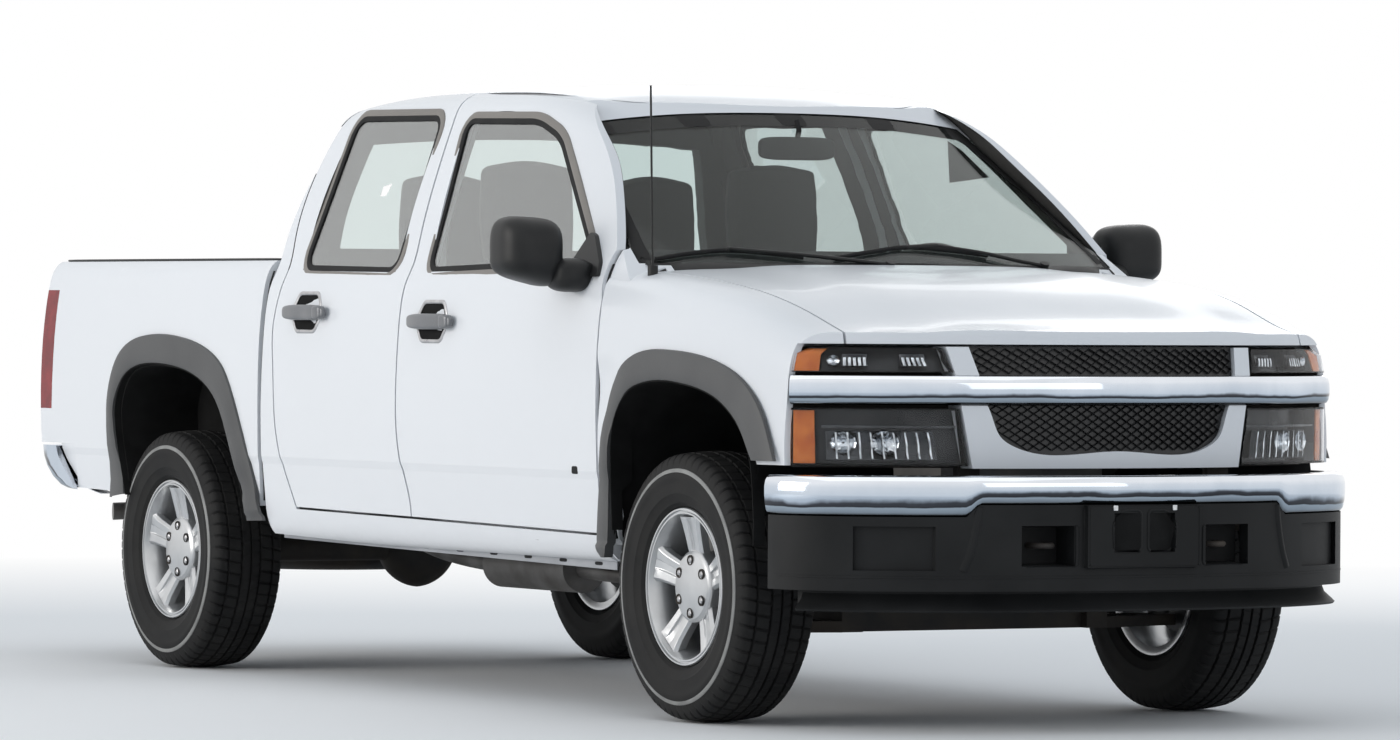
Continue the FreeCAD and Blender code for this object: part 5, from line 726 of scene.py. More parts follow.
def addLattice(name, inside, tree, info):
    # Each wire of a diamond is a bar of four points at either end, laid on the panel behind it.
    points, faces = [], []
    wide, high, wire = info["cellWide"], info["cellHigh"], info["wire"]
    columns = int(0.9 / wide)
    for row in range(-1, 16):
        for column in range(-columns // 2, columns // 2 + 1):
            for way in (-1, 1):
                corners = [(column * wide + way * wide * share, 0.72 + row * high + high * share)
                           for share in (0, 0.5, 1)]
                for ends in (corners[:2], corners[1:]):
                    hits = [hitFrom(tree, (x, -4, z), (0, 1, 0), None) for x, z in ends if inside(x, z)]
                    if len(hits) < 2 or None in hits:
                        continue
                    start, end = (Vector((x, hit.y - info["ahead"], z)) for (x, z), hit in zip(ends, hits))
                    run = (end - start).normalized()
                    up = run.cross(Vector((0, 1, 0))).normalized() * wire * 0.55
                    deep = Vector((0, wire * 1.3, 0))
                    first = len(points)
                    for spot in (start, end):
                        points.extend((spot - deep, spot + up, spot + deep, spot - up))
                    faces += [tuple(first + index for index in face) for face in gridFaces(2, 4, False, True)]
    return addPiece(name, points, faces, "meshBlack", "root", 60.0)


def addGrille():
    tree = surfaceOf("grille")
    addLattice("lattice.high", insideHigh, tree, latticeInfo)
    addLattice("lattice.low", insideLow, tree, latticeInfo)
    print("grille done")


def bandOn(name, path, section, place, finish, body, closed=True, sharp=40.0):
    # A band along a path of flat points. place(spot, out) gives where a flat spot at a height above the surface lies.
    count = len(path)
    points = []
    for index, spot in enumerate(path):
        spot = Vector(spot)
        before = Vector(path[index - 1] if index or closed else path[0])
        after = Vector(path[(index + 1) % count] if index < count - 1 or closed else path[-1])
        run = (after - before).normalized()
        beside = Vector((run.y, -run.x))
        for across, out in section:
            points.append(place(spot + beside * across, out))
    return addPiece(name, points, gridFaces(count, len(section), closed, True), finish, body, sharp)


def onFront(tree, fallback):
    def place(spot, out):
        hit = hitFrom(tree, (spot.x, -4, spot.y), (0, 1, 0), Vector((spot.x, fallback, spot.y)))
        return Vector((spot.x, hit.y - out, spot.y))
    return place


def addLining(name, node, body, finish, keep, lift):
    # The faces of a node that keep() picks, raised a little along their normals.
    model = bmesh.new()
    model.from_mesh(nodes[node].data)
    bmesh.ops.remove_doubles(model, verts=model.verts, dist=0.00002)
    bmesh.ops.delete(model, geom=[face for face in model.faces if not keep(face.calc_center_median(), face.normal)],
                     context="FACES")
    model.normal_update()
    points = [vert.co + vert.normal * lift for vert in model.verts]
    model.verts.index_update()
    faces = [[vert.index for vert in face.verts] for face in model.faces]
    model.free()
    return addPiece(name, points, faces, finish, body, 35.0)


def cubeMesh(count, place):
    # A cube whose sides are cut into squares. place() gives where each spot of it comes to lie.
    steps = [-1 + 2 * index / (count - 1) for index in range(count)]
    points, faces, seen = [], [], {}
    for axis, end in ((axis, end) for axis in range(3) for end in (-1, 1)):
        for a, b in ((a, b) for a in range(count - 1) for b in range(count - 1)):
            quad = []
            for u, v in ((a, b), (a + 1, b), (a + 1, b + 1), (a, b + 1)):
                spot = [steps[u], steps[v]]
                spot.insert(axis, end)
                key = tuple(round(value, 4) for value in spot)
                if key not in seen:
                    seen[key] = len(points)
                    points.append(place(Vector(spot)))
                quad.append(seen[key])
            faces.append(quad)
    return points, faces


def softBlock(name, low, high, power, finish, body, side=1, shape=None, count=11, rounds=1):
    # A block with swollen sides and rounded corners. The higher the power, the tighter the corners.
    low, high = Vector(low), Vector(high)
    middle, size = (low + high) / 2, (high - low) / 2

    def place(spot):
        soft = spot / sum(abs(value) ** power for value in spot) ** (1 / power)
        u, v, w = shape(*soft) if shape else soft
        return side * (middle.x + u * size.x), middle.y + v * size.y, middle.z + w * size.z

    return addPiece(name, *cubeMesh(count, place), finish, body, 60.0, 0.0, rounds)


def sidePlate(name, loop, tree, side, out, finish, body, sink=0.004):
    # A plate lying on the truck's side, with its outline in (y, z).
    front = []
    last = side * 0.85
    for y, z in loop:
        spot = fromSide(tree, side, y, z)[0]
        last = last if spot is None else spot.x
        front.append((last + side * out, y, z))
    back = [moved(point, -side * (out + sink)) for point in front]
    return slab(name, front, back, finish, body, 30.0, 0.0008)


# Mirrors and door handles

mirrorInfo = {
    "cap": ((0.868, 0.566, 1.137), (1.0495, 0.732, 1.342)),
    "glass": ((0.888, 0.722, 1.182), (1.0195, 0.7325, 1.312)),
    "arm": ((0.792, 0.538, 1.134), (0.915, 0.668, 1.226)),
    "sail": ((0.500, 1.176), (0.705, 1.176), (0.700, 1.205), (0.660, 1.262), (0.640, 1.298), (0.610, 1.290),
             (0.520, 1.214)),
}


def mirrorShape(u, v, w):
    # Domed ahead, flat behind, and lower where it meets the arm.
    ahead = max(-v, 0.0)
    u = u * (1 - 0.16 * ahead ** 2)
    w = w * (1 - 0.20 * ahead ** 2)
    if w < 0:
        w *= 1 - 0.42 * (u + 1) * 0.5
    else:
        w *= 1 - 0.10 * (1 - u) * 0.5
    return u, v, w


def addMirror(side, sideName, info):
    body = f"door_front_{sideName}"
    for part, power, finish, shape, count in (("cap", 4.0, "blackPlastic", mirrorShape, 15),
                                              ("glass", 7.0, "reflector", None, 11),
                                              ("arm", 2.8, "blackPlastic", None, 11)):
        low, high = (moved(corner, 0, frontAxle) for corner in info[part])
        piece = softBlock(f"mirror.{part}.{sideName}", low, high, power, finish, body, side, shape, count)
        if part == "cap":
            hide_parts(f"door_front_fittings_{sideName}")
    tree = surfaceOf(body, f"door_front_glass_{sideName}")
    loop = flatLoop([(frontAxle + y, z) for y, z in info["sail"]], 0.008)
    sidePlate(f"mirror.sail.{sideName}", loop, tree, side, 0.012, "blackPlastic", body)


handleInfo = {
    "front": {"bar": (1.290, 1.556), "cup": (1.378, 1.496), "height": 1.051},
    "rear": {"bar": (2.096, 2.362), "cup": (2.186, 2.304), "height": 1.074},
    "cupHalf": 0.052, "barHalf": 0.0225, "wing": 0.014, "lean": 0.026, "barX": (0.846, 0.8775),
    "lockX": (0.850, 0.8780), "lockY": (0.006, 0.058), "lockInset": 0.003,
}
sideMarker = ((0.852, 0.541, 0.643), (0.8590, 0.577, 0.665))
cupRing = ((-0.002, -0.003), (-0.002, 0.002), (0.001, 0.0038), (0.006, 0.0038), (0.009, 0.0018), (0.0095, -0.003))


def barShape(u, v, w):
    # The grip bows out in its middle and thins at its ends.
    bow = 1 - 0.30 * v ** 4
    return u * bow, v, w * (0.86 + 0.14 * (1 - v ** 2))


def addHandle(end, side, sideName, info):
    body = f"door_{end}_{sideName}"
    tree = surfaceOf(body)
    y0, y1 = info[end]["cup"]
    b0, b1 = (frontAxle + y for y in info[end]["bar"])
    middle, half, wing, lean = info[end]["height"], info["cupHalf"], info["wing"], info["lean"]
    corners = ((y0, middle - half), (y1, middle - half), (y1 + lean, middle - wing), (y1 + lean, middle + wing),
               (y1, middle + half), (y0, middle + half), (y0 - lean, middle + wing), (y0 - lean, middle - wing))
    loop = flatLoop([(frontAxle + y, z) for y, z in corners], 0.012)
    # The cup is a flat dark plate just off the door. Its dark stands for the recess's own black and is painted shade
    # where no hollow is cut.
    sidePlate(f"handle.cupShade.{end}.{sideName}", loop, tree, side, 0.0006, "linerBlack", body, 0.003)
    sideBand(f"handle.ring.{end}.{sideName}", loop, cupRing, tree, side, "bolt", body)
    z0, z1 = middle - info["barHalf"], middle + info["barHalf"]
    bar = softBlock(f"handle.bar.{end}.{sideName}", (info["barX"][0], b0, z0), (info["barX"][1], b1, z1), 5.0,
                    "handleGrey", body, side, barShape)
    (l0, l1), inset = info["lockY"], info["lockInset"]
    softBlock(f"handle.lock.{end}.{sideName}", (info["lockX"][0], b0 + l0, z0 + inset),
              (info["lockX"][1], b0 + l1, z1 - inset), 6.0, "handleGrey", body, side, barShape, 9)
    if end == "rear":
        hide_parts(f"door_rear_fittings_{sideName}")


def addDoorFittings():
    for sideName, side in sides.items():
        addMirror(side, sideName, mirrorInfo)
        for end in ("front", "rear"):
            addHandle(end, side, sideName, handleInfo)
        low, high = (moved(corner, 0, frontAxle) for corner in sideMarker)
        softBlock(f"sideMarker.{sideName}", low, high, 6.0, "sealRubber", f"door_front_{sideName}", side, None, 7)
    print("mirrors and handles done")


# Shut lines: dark strips a little way down inside the panel gaps, as painted shade in them

shutInfo = {
    "frontDoor": ((1.690, 1.570), (1.647, 1.130), (1.641, 0.947), (1.637, 0.804), (1.614, 0.670), (1.576, 0.575),
                  (1.563, 0.497), (0.439, 0.483), (0.430, 0.630), (0.436, 0.800), (0.445, 0.979), (0.448, 1.113),
                  (0.471, 1.167), (0.480, 1.215)),
    "rearDoor": ((2.484, 1.442), (2.472, 1.290), (2.448, 1.171), (2.463, 1.025), (2.446, 0.916), (2.412, 0.711),
                 (2.341, 0.565), (2.304, 0.505), (1.563, 0.497)),
    "bed": ((2.544, 0.520), (2.536, 0.700), (2.540, 0.874), (2.543, 1.100), (2.543, 1.200)),
    "probe": 0.014, "deep": 0.011, "half": 0.0042,
}
# across the hood's gap and down from the skin
hoodStrip = ((-0.0040, 0.016), (0.0040, 0.016), (0.0040, 0.018), (-0.0040, 0.018))
hoodGap = ((0.6945, -0.590), (0.6925, -0.560), (0.7005, -0.306), (0.7215, 0.115), (0.7385, 0.320))


def gapShade(name, path, tree, side, info):
    # The strip lies under the tangent plane of the skin a little way beside the gap.
    points = []
    count = len(path)
    skin = (Vector((side * 0.85, 0, 0)), Vector((side, 0, 0)))
    for index, (y, z) in enumerate(path):
        run = (Vector(path[min(index + 1, count - 1)]) - Vector(path[max(index - 1, 0)])).normalized()
        beside = Vector((run.y, -run.x))
        look = Vector((y, z)) + beside * info["probe"]
        found = fromSide(tree, side, *look)
        if found[0] is not None and found[0].x * side > 0.45:
            skin = found
        hit, normal = skin
        lean = max(abs(normal.x), 0.35) * side
        for across, deep in ((-1, 0), (1, 0), (1, 0.002), (-1, 0.002)):
            spot = Vector((y, z)) + beside * info["half"] * across
            x = hit.x - (normal.y * (spot.x - look.x) + normal.z * (spot.y - look.y)) / lean
            points.append(Vector((x, spot.x, spot.y)) - normal * (info["deep"] + deep))
    return addPiece(name, points, gridFaces(count, 4, False, True), "sealRubber", "root", 40.0)


def addShutLines(info):
    for sideName, side in sides.items():
        for kind in ("frontDoor", "rearDoor", "bed"):
            spots = [(0, frontAxle + y, z) for y, z in info[kind]]
            path = [(spot.y, spot.z) for spot in smoothRun(spots, 3)]
            tree = surfaceOf("bed" if kind == "bed" else f"door_{kind[:-4]}_{sideName}")
            gapShade(f"gapShade.{kind}.{sideName}", path, tree, side, info)
        tree = surfaceOf("hood", f"fender_{sideName}")
        # The hood's gap gets such a dark strip too, as painted shade under it.
        points = []
        gap = smoothRun([(side * x, frontAxle + y, 0) for x, y in hoodGap], 5)
        for spot in gap:
            high = hitFrom(tree, (spot.x - side * 0.030, spot.y, 2), (0, 0, -1), Vector((0, 0, 1.05))).z
            for across, drop in hoodStrip:
                points.append((spot.x + across, spot.y, high - drop))
        addPiece(f"gapShade.hood.{sideName}", points, gridFaces(len(gap), 4, False, True), "sealRubber", "root", 40.0)
    print("shut lines done")


# Windshield: dark border, cowl, wipers and inner mirror

screenInfo = {
    "corners": ((-0.748, 1.212), (0.748, 1.212), (0.690, 1.420), (0.590, 1.606), (0.300, 1.634), (0.0, 1.640),
                (-0.300, 1.634), (-0.590, 1.606), (-0.690, 1.420)),
    "border": ((-0.036, -0.002), (-0.036, 0.0016), (-0.018, 0.0018), (0.0, 0.0016), (0.0, -0.002)),
    "cowl": ((0.0, 0.226, 0.262), (0.300, 0.248, 0.285), (0.600, 0.290, 0.345), (0.735, 0.334, 0.392)),
    # share of the way back over the cowl, and lift
    "cowlSection": ((0.0, 0.0), (0.0, 0.004), (0.5, 0.006), (1.0, 0.004), (1.0, 0.0)), "cowlHigh": (1.195, 1.218),
    "off": {"blade": 0.010, "arm": 0.022}, "pivot": ((0, 0.012, -0.030), (0, 0, 0), (0, -0.004, 0.008)),
    "mirror": ((-0.120, 0.850, 1.505), (0.120, 0.880, 1.570)),
    "stalk": ((0, 0.862, 1.560), (0, 0.850, 1.590), (0, 0.862, 1.618)),
    "wipers": (
        {"blade": ((-0.700, 1.224), (-0.600, 1.240), (-0.498, 1.249), (-0.400, 1.243), (-0.300, 1.232)),
         "arm": ((-0.067, 1.214), (-0.180, 1.226), (-0.300, 1.238), (-0.494, 1.254))},
        {"blade": ((-0.212, 1.230), (-0.090, 1.248), (0.035, 1.262), (0.160, 1.256), (0.290, 1.243)),
         "arm": ((0.462, 1.215), (0.370, 1.230), (0.278, 1.248), (0.134, 1.267))},
    ),
}


def frontPane():
    # The windshield's own faces, without the rear window that shares its node.
    mesh = nodes["fixed_glass"].data
    faces = [tuple(face.vertices) for face in mesh.polygons if face.center.y < frontAxle + 1.6]
    return BVHTree.FromPolygons([vertex.co.copy() for vertex in mesh.vertices], faces)


def glassHeight(tree, x, z):
    # Where the pane lies ahead of a spot. Past its edge, the pane's slope goes on.
    for pull in (0.0, 0.01, 0.02, 0.03, 0.05, 0.08):
        inX, inZ = x * (1 - pull), 1.40 + (z - 1.40) * (1 - pull * 2)
        hit, normal = tree.ray_cast(Vector((inX, -4, inZ)), Vector((0, 1, 0)))[:2]
        if hit is not None:
            normal = normal if normal.y < 0 else -normal
            return hit.y - (normal.x * (x - inX) + normal.z * (z - inZ)) / min(normal.y, -0.3)
    return frontAxle + 0.3


def onGlass(tree, x, z, out):
    return Vector((x, glassHeight(tree, x, z) - out, z))


def addWindshieldTrim(info):
    tree = frontPane()
    loop = flatLoop(info["corners"], 0.020)

    def place(spot, out):
        return onGlass(tree, spot.x, spot.y, out)

    bandOn("screen.border", loop, info["border"], place, "sealRubber", "root")
    cab = surfaceOf("cab")
    half = smoothRun([(x, start, end) for x, start, end in info["cowl"]], 6)
    rows = [Vector((-row.x, row.y, row.z)) for row in reversed(half[1:])] + half
    points = []
    lowest, highest = info["cowlHigh"]
    for row in rows:
        for share, lift in info["cowlSection"]:
            y = frontAxle + row.y + (row.z - row.y) * share
            high = hitFrom(cab, (row.x, y, 1.30), (0, 0, -1), Vector((0, 0, lowest))).z
            points.append((row.x, y, min(high, highest) + lift))
    faces = gridFaces(len(rows), len(info["cowlSection"]), False, True)
    addPiece("screen.cowl", points, faces, "blackPlastic", "root", 40.0)
    for number, wiper in enumerate(info["wipers"]):
        blade, arm = (smoothRun([onGlass(tree, x, z, info["off"][part]) for x, z in wiper[part]], 6)
                      for part in ("blade", "arm"))
        rod(f"wiper.blade{number}", blade, 0.0065, "sealRubber", "root")
        rod(f"wiper.arm{number}", arm, 0.0055, "blackPlastic", "root")
        tip, middle = arm[-1], blade[len(blade) // 2]
        rod(f"wiper.joint{number}", [tip, (tip + middle) / 2, middle], 0.007, "blackPlastic", "root")
        pivot = [arm[0] + Vector(step) for step in info["pivot"]]
        rod(f"wiper.pivot{number}", pivot, 0.013, "blackPlastic", "root", 16)
    low, high = (moved(corner, 0, frontAxle) for corner in info["mirror"])
    softBlock("innerMirror", low, high, 5.0, "sealRubber", "root")
    rod("innerMirror.stalk", [moved(spot, 0, frontAxle) for spot in info["stalk"]], 0.008, "sealRubber", "root")
    print("windshield done")


# Lower body: the pinch weld with its slots, arch liners, bed ribs and rail caps

weldInfo = {"start": (0.470, 0.385), "end": (2.530, 0.411), "x": (0.770, 0.774), "rise": 0.060, "slots": 10,
            "slotHalf": (0.023, 0.005), "slotRise": 0.014, "slotX": (0.772, 0.7748)}


def addPinchWeld(info):
    (y0, z0), (y1, z1) = info["start"], info["end"]
    (x0, x1), (halfY, halfZ) = info["x"], info["slotHalf"]
    for sideName, side in sides.items():
        points = []
        for y, z in ((y0, z0), (y1, z1)):
            points += [(side * x, frontAxle + y, high)
                       for x, high in ((x0, z), (x1, z), (x1, z + info["rise"]), (x0, z + info["rise"]))]
        faces = gridFaces(2, 4, False, True) + [(0, 1, 2, 3), (7, 6, 5, 4)]
        addPiece(f"pinchWeld.{sideName}", points, faces, "weldGrey", "root", 30.0, 0.0012)
        for number in range(info["slots"]):
            share = (number + 0.5) / info["slots"]
            y, z = frontAxle + y0 + (y1 - y0) * share, z0 + (z1 - z0) * share + info["slotRise"]
            softBlock(f"weldSlot.{sideName}.{number}", (info["slotX"][0], y - halfY, z - halfZ),
                      (info["slotX"][1], y + halfY, z + halfZ), 4.0, "sealRubber", "root", side, None, 7)


linerInfo = {
    "front": {"outline": ((0.352, 0.470), (0.352, 0.632), (0.336, 0.779), (0.264, 0.868), (0.139, 0.902),
                          (-0.026, 0.901), (-0.215, 0.869), (-0.339, 0.806), (-0.418, 0.714), (-0.430, 0.560)),
              "in": 0.440, "out": 0.847, "wallLow": 0.722,
              "edge": ((0.332, 0.500), (0.340, 0.632), (0.333, 0.779), (0.261, 0.865), (0.139, 0.899), (-0.026, 0.898),
                       (-0.215, 0.866), (-0.339, 0.803), (-0.414, 0.714), (-0.440, 0.560), (-0.440, 0.480))},
    "rear": {"outline": ((2.604, 0.480), (2.668, 0.632), (2.768, 0.779), (2.870, 0.850), (3.034, 0.898), (3.257, 0.916),
                         (3.416, 0.899), (3.492, 0.852), (3.528, 0.759), (3.470, 0.560)), "in": 0.590, "out": 0.847,
             "wallLow": 0.560,
             "edge": ((2.594, 0.460), (2.677, 0.632), (2.776, 0.779), (2.875, 0.853), (3.034, 0.901), (3.257, 0.919),
                      (3.416, 0.902), (3.497, 0.854), (3.537, 0.759), (3.456, 0.517))},
}


edgeInfo = {"inner": 0.800, "innerLow": 0.832, "lowTo": 0.62, "outer": 0.866, "off": (0.0007, 0.0042),
            "wallMiddle": 0.742, "wall": ((-0.102, 0.4295, 0.430), (0.102, 0.4325, 0.745))}
kingpinBall = {"radius": 0.428, "middle": 0.655}


def linerSpot(x, spot, hub, grow):
    # A steered tyre stays inside a ball about the kingpin, so the front liner bulges round that.
    way = Vector((spot.y - hub.y, spot.z - hub.z))
    reach = way.length + grow
    if hub.y < 0:
        ball = kingpinBall["radius"] ** 2 - (x - kingpinBall["middle"]) ** 2
        reach = max(reach, math.sqrt(max(ball, 0.0)) + grow)
    way = way.normalized() * reach
    return hub.y + way.x, hub.z + way.y


def addArchLiners():
    for end, info in linerInfo.items():
        hub = frontHub if end == "front" else rearHub
        spots = smoothRun([(0, frontAxle + y, z) for y, z in info["outline"]], 5)
        columns = 9
        stations = [info["in"] + (info["out"] - info["in"]) * column / (columns - 1) for column in range(columns)]
        for sideName, side in sides.items():
            points = []
            for spot in spots:
                for x in stations:
                    points.append((side * x, *linerSpot(x, spot, hub, -0.007)))
                for x in reversed(stations):
                    points.append((side * x, *linerSpot(x, spot, hub, 0.0)))
            faces = gridFaces(len(spots), columns * 2, False, True)
            addPiece(f"archLiner.{end}.{sideName}", points, faces, "linerBlack", "root", 50.0)
            points = []
            for spot in smoothRun([(0, frontAxle + y, z) for y, z in info["edge"]], 5):
                # Low in the front arch the strip starts further out, clear of the steered tyre.
                way = Vector((spot.y - hub.y, spot.z - hub.z)).normalized()
                inner = edgeInfo["innerLow"] if end == "front" and spot.z < edgeInfo["lowTo"] else edgeInfo["inner"]
                near, far = edgeInfo["off"]
                for x, off in ((inner, near), (edgeInfo["outer"], near), (edgeInfo["outer"], far), (inner, far)):
                    points.append((side * x, spot.y - way.x * off, spot.z - way.y * off))
            if end == "front":
                low, high = (moved(corner, side * edgeInfo["wallMiddle"], frontAxle) for corner in edgeInfo["wall"])
                block(f"archWall.{sideName}", low, high, "linerBlack", "root", 0.001)
            faces = gridFaces(len(points) // 4, 4, False, True)
            addPiece(f"archEdge.{end}.{sideName}", points, faces, "linerBlack", "root", 40.0)
            loop = [linerSpot(info["in"], spot, hub, 0.0) for spot in spots]
            loop = [(y, z) for y, z in loop if z > info["wallLow"]]
            outside, inside = ([(side * (info["in"] + out), y, z) for y, z in loop] for out in (0.002, -0.002))
            slab(f"archWall.{end}.{sideName}", outside, inside, "linerBlack", "root", 50.0)
    print("arch liners done")


bedInfo = {"ribs": 13, "halfWide": 0.50, "rib": ((-0.014, 2.600, 0.760), (0.014, 4.030, 0.769)),
           "cap": ((0.738, 2.555, 1.2262), (0.786, 4.085, 1.2337))}


def addBedDetails(info):
    for number in range(info["ribs"]):
        x = -info["halfWide"] + 2 * info["halfWide"] * number / (info["ribs"] - 1)
        low, high = (moved(corner, x, frontAxle) for corner in info["rib"])
        block(f"bedRib.{number}", low, high, "whitePaint", "root", 0.004)
    for sideName, side in sides.items():
        low, high = (moved(corner, 0, frontAxle) for corner in info["cap"])
        softBlock(f"railCap.{sideName}", low, high, 9.0, "blackPlastic", "root", side, None, 9, 0)
    print("bed done")


# Rear bumper: chrome that tucks under and wraps round the bed's low corners

rearBumperInfo = {
    "plan": ((0.0, 4.295), (0.35, 4.290), (0.60, 4.268), (0.74, 4.225), (0.815, 4.160), (0.855, 4.095), (0.8665, 4.050),
             (0.8675, 4.015), (0.8675, 3.968)),
    # height, tuck in the middle, where the side's outer and inner edges lie
    "levels": ((0.6565, 0.000, 4.050, 3.968), (0.640, 0.000, 4.046, 3.962), (0.622, 0.004, 4.040, 3.950),
               (0.593, 0.020, 4.018, 3.914), (0.560, 0.055, 3.968, 3.862), (0.536, 0.095, 3.905, 3.838),
               (0.526, 0.120, 3.845, 3.828)),
    # the inner skin's depth, over which length it comes in at the ends, and its drop as a share of the depth
    "corner": 4.050, "inside": 3.968, "skin": 0.012, "ease": 0.08, "drop": 0.3,
    "step": ((-0.78, 4.122), (0.78, 4.122), (0.70, 4.222), (0.58, 4.256), (0.0, 4.280), (-0.58, 4.256), (-0.70, 4.222)),
    "stepHigh": (0.6525, 0.640),
    "bracketMiddle": 0.40, "bracket": ((-0.030, 4.10, 0.560), (0.030, 4.275, 0.638)),
}
# how far ahead of the bed's rear edge and how deep in its skin each point of a row lies
cornerSection = ((0.014, 0.0012), (0.004, 0.005), (0.0, 0.016), (0.0, 0.060))
# where the bed's own skin is measured, and how far ahead the rows begin
bedSkin = {"y": 3.80, "low": 0.535, "beyond": 0.855, "start": 3.842}
bedCorner = ((3.962, 0.666), (3.946, 0.628), (3.902, 0.590), (3.852, 0.554), (3.790, 0.526), (3.700, 0.512))


def addRearBumper(info):
    half = smoothRun([(x, y, 0) for x, y in info["plan"]], 5)
    run = [Vector((-spot.x, spot.y, 0)) for spot in reversed(half[1:])] + half
    back, corner, inside = info["plan"][0][1], info["corner"], info["inside"]
    points = []
    for spot in run:
        for inset, levels in ((0.0, info["levels"]), (info["skin"], info["levels"][::-1])):
            for height, tuck, outer, inner in levels:
                if spot.y > corner:
                    y = outer + (spot.y - corner) / (back - corner) * (back - tuck - outer)
                else:
                    y = outer + (corner - spot.y) / (corner - inside) * (inner - outer)
                x = math.copysign(max(abs(spot.x) - inset, 0), spot.x)
                y -= inset * min(1, max(0, (spot.y - inside) / info["ease"]))
                points.append((x, frontAxle + y, height - inset * info["drop"]))
    columns, count = 2 * len(info["levels"]), len(points)
    faces = gridFaces(len(run), columns, False, True)
    faces += [tuple(range(columns)), tuple(range(count - columns, count))]
    bumper = addPiece("rearBumper", points, faces, "chrome", "root", 45.0)
    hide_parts("rear_bumper")
    tree = surfaceOf("bed")
    for sideName, side in sides.items():
        rows = []
        for spot in smoothRun([(0, y, z) for y, z in bedCorner], 5):
            hit = fromSide(tree, side, frontAxle + bedSkin["y"], max(spot.z, bedSkin["low"]))[0]
            skin = side * bedSkin["beyond"] if hit is None else hit.x
            row = [(min(spot.y - 0.03, bedSkin["start"]), cornerSection[0][1])]
            row += [(spot.y - back, deep) for back, deep in cornerSection]
            rows += [(skin - side * deep, frontAxle + y, spot.z) for y, deep in row]
        columns = len(cornerSection) + 1
        addPiece(f"bedCorner.{sideName}", rows, gridFaces(len(rows) // columns, columns), "whitePaint", "root", 50.0)
    loop = flatLoop(info["step"], 0.030)
    top, under = ([(x, frontAxle + y, z) for x, y in loop] for z in info["stepHigh"])
    slab("rearStep", top, under, "fasciaPlastic", "root", 30.0, 0.003)
    for side in (1, -1):
        low, high = (moved(corner, side * info["bracketMiddle"], frontAxle) for corner in info["bracket"])
        block(f"rearBumper.bracket.{side}", low, high, "frameSteel", "root", 0.004)
    print("rear bumper done")


# Rear: tail lamp bands, tailgate handle, step pads

rearInfo = {
    "back": 4.108, "grid": (5, 9), "lampX": (0.735, 0.835),
    "bands": ((0.905, 0.985, "lampGlass"), (1.000, 1.120, "redLens"), (0.785, 0.890, "redLens")),
    "gateHandle.plate": ((-0.120, 4.102, 1.060), (0.120, 4.109, 1.150)),
    "gateHandle.bar": ((-0.098, 4.104, 1.085), (0.098, 4.1115, 1.128)),
    "plateBlank": ((-0.155, 4.284, 0.548), (0.155, 4.2945, 0.644)),
    "pads": 9, "padStep": 0.150, "pad": ((-0.062, 4.135, 0.650), (0.062, 4.205, 0.6565)),
}

def addRearDetails(info):
    tree = surfaceOf("tail_lamps")
    rows, columns = info["grid"]
    start, end = info["lampX"]
    for sideName, side in sides.items():
        for number, (low, high, finish) in enumerate(info["bands"]):
            points = []
            for row in range(rows):
                z = low + (high - low) * row / (rows - 1)
                for column in range(columns):
                    x = side * (start + (end - start) * column / (columns - 1))
                    hit = hitFrom(tree, (x, 4, z), (0, -1, 0), Vector((x, frontAxle + info["back"], z)))
                    edge = min(row, rows - 1 - row, column, columns - 1 - column)
                    points.append((x, hit.y + (0.002 if edge else -0.001), z))
            addPiece(f"tailLamp.{sideName}.{number}", points, gridFaces(rows, columns), finish, "root", 50.0)
    for name, power, finish, body in (("gateHandle.plate", 7.0, "blackPlastic", "tailgate"),
                                      ("gateHandle.bar", 5.0, "handleGrey", "tailgate"),
                                      ("plateBlank", 9.0, "weldGrey", "root")):
        low, high = (moved(corner, 0, frontAxle) for corner in info[name])
        softBlock(name, low, high, power, finish, body)
    for number in range(info["pads"]):
        x = (number - (info["pads"] - 1) / 2) * info["padStep"]
        low, high = (moved(corner, x, frontAxle) for corner in info["pad"])
        softBlock(f"stepPad.{number}", low, high, 8.0, "fasciaPlastic", "root", 1, None, 7, 0)
    print("rear done")


liningInfo = {"cabMiddle": (0, 0.0, 1.08), "lift": 0.0015}


def facesInward(middle, share):
    middle = Vector(middle)

    def keep(spot, normal):
        way = middle - spot
        return way.normalized().dot(normal) > share and abs(spot.x) < 0.80
    return keep


def addLinings():
    info = liningInfo
    inward = facesInward(info["cabMiddle"], 0.12)
    addLining("lining.cab", "cab", "root", "cabinPlastic", inward, info["lift"])
    for sideName in sides:
        for end in ("front", "rear"):
            name = f"door_{end}_{sideName}"
            addLining(f"lining.{end}.{sideName}", name, name, "cabinPlastic", inward, info["lift"])
    print("linings done")


# Nose: the chrome bar, the bumper's chrome and the lamps follow the plan of the CAD pieces

def planRun(tree, height, center, count=121, spread=89.7):
    # Where level rays towards the center meet the nose, from the truck's right round to its left.
    run = []
    for index in range(count):
        angle = math.radians(-spread + 2 * spread * index / (count - 1))
        way = Vector((math.sin(angle), -math.cos(angle), 0))
        spot = tree.ray_cast(Vector((0, center, height)) + way * 3, -way)[0]
        if spot is not None:
            run.append(spot)
    return run


def outward(run, index):
    # The level way out from the nose, square to its plan.
    ahead = run[min(index + 1, len(run) - 1)] - run[max(index - 1, 0)]
    return Vector((ahead.y, -ahead.x, 0)).normalized()


def noseBand(name, run, section, finish, sharp, heightAt):
    # A band along the plan of the nose. The section gives how far out and how high each of its points lies.
    points = []
    for index, spot in enumerate(run):
        way = outward(run, index)
        for out, level in section:
            points.append((spot.x + way.x * out, spot.y + way.y * out, heightAt(spot, level)))
    return addPiece(name, points, gridFaces(len(run), len(section), False, True), finish, "root", sharp)


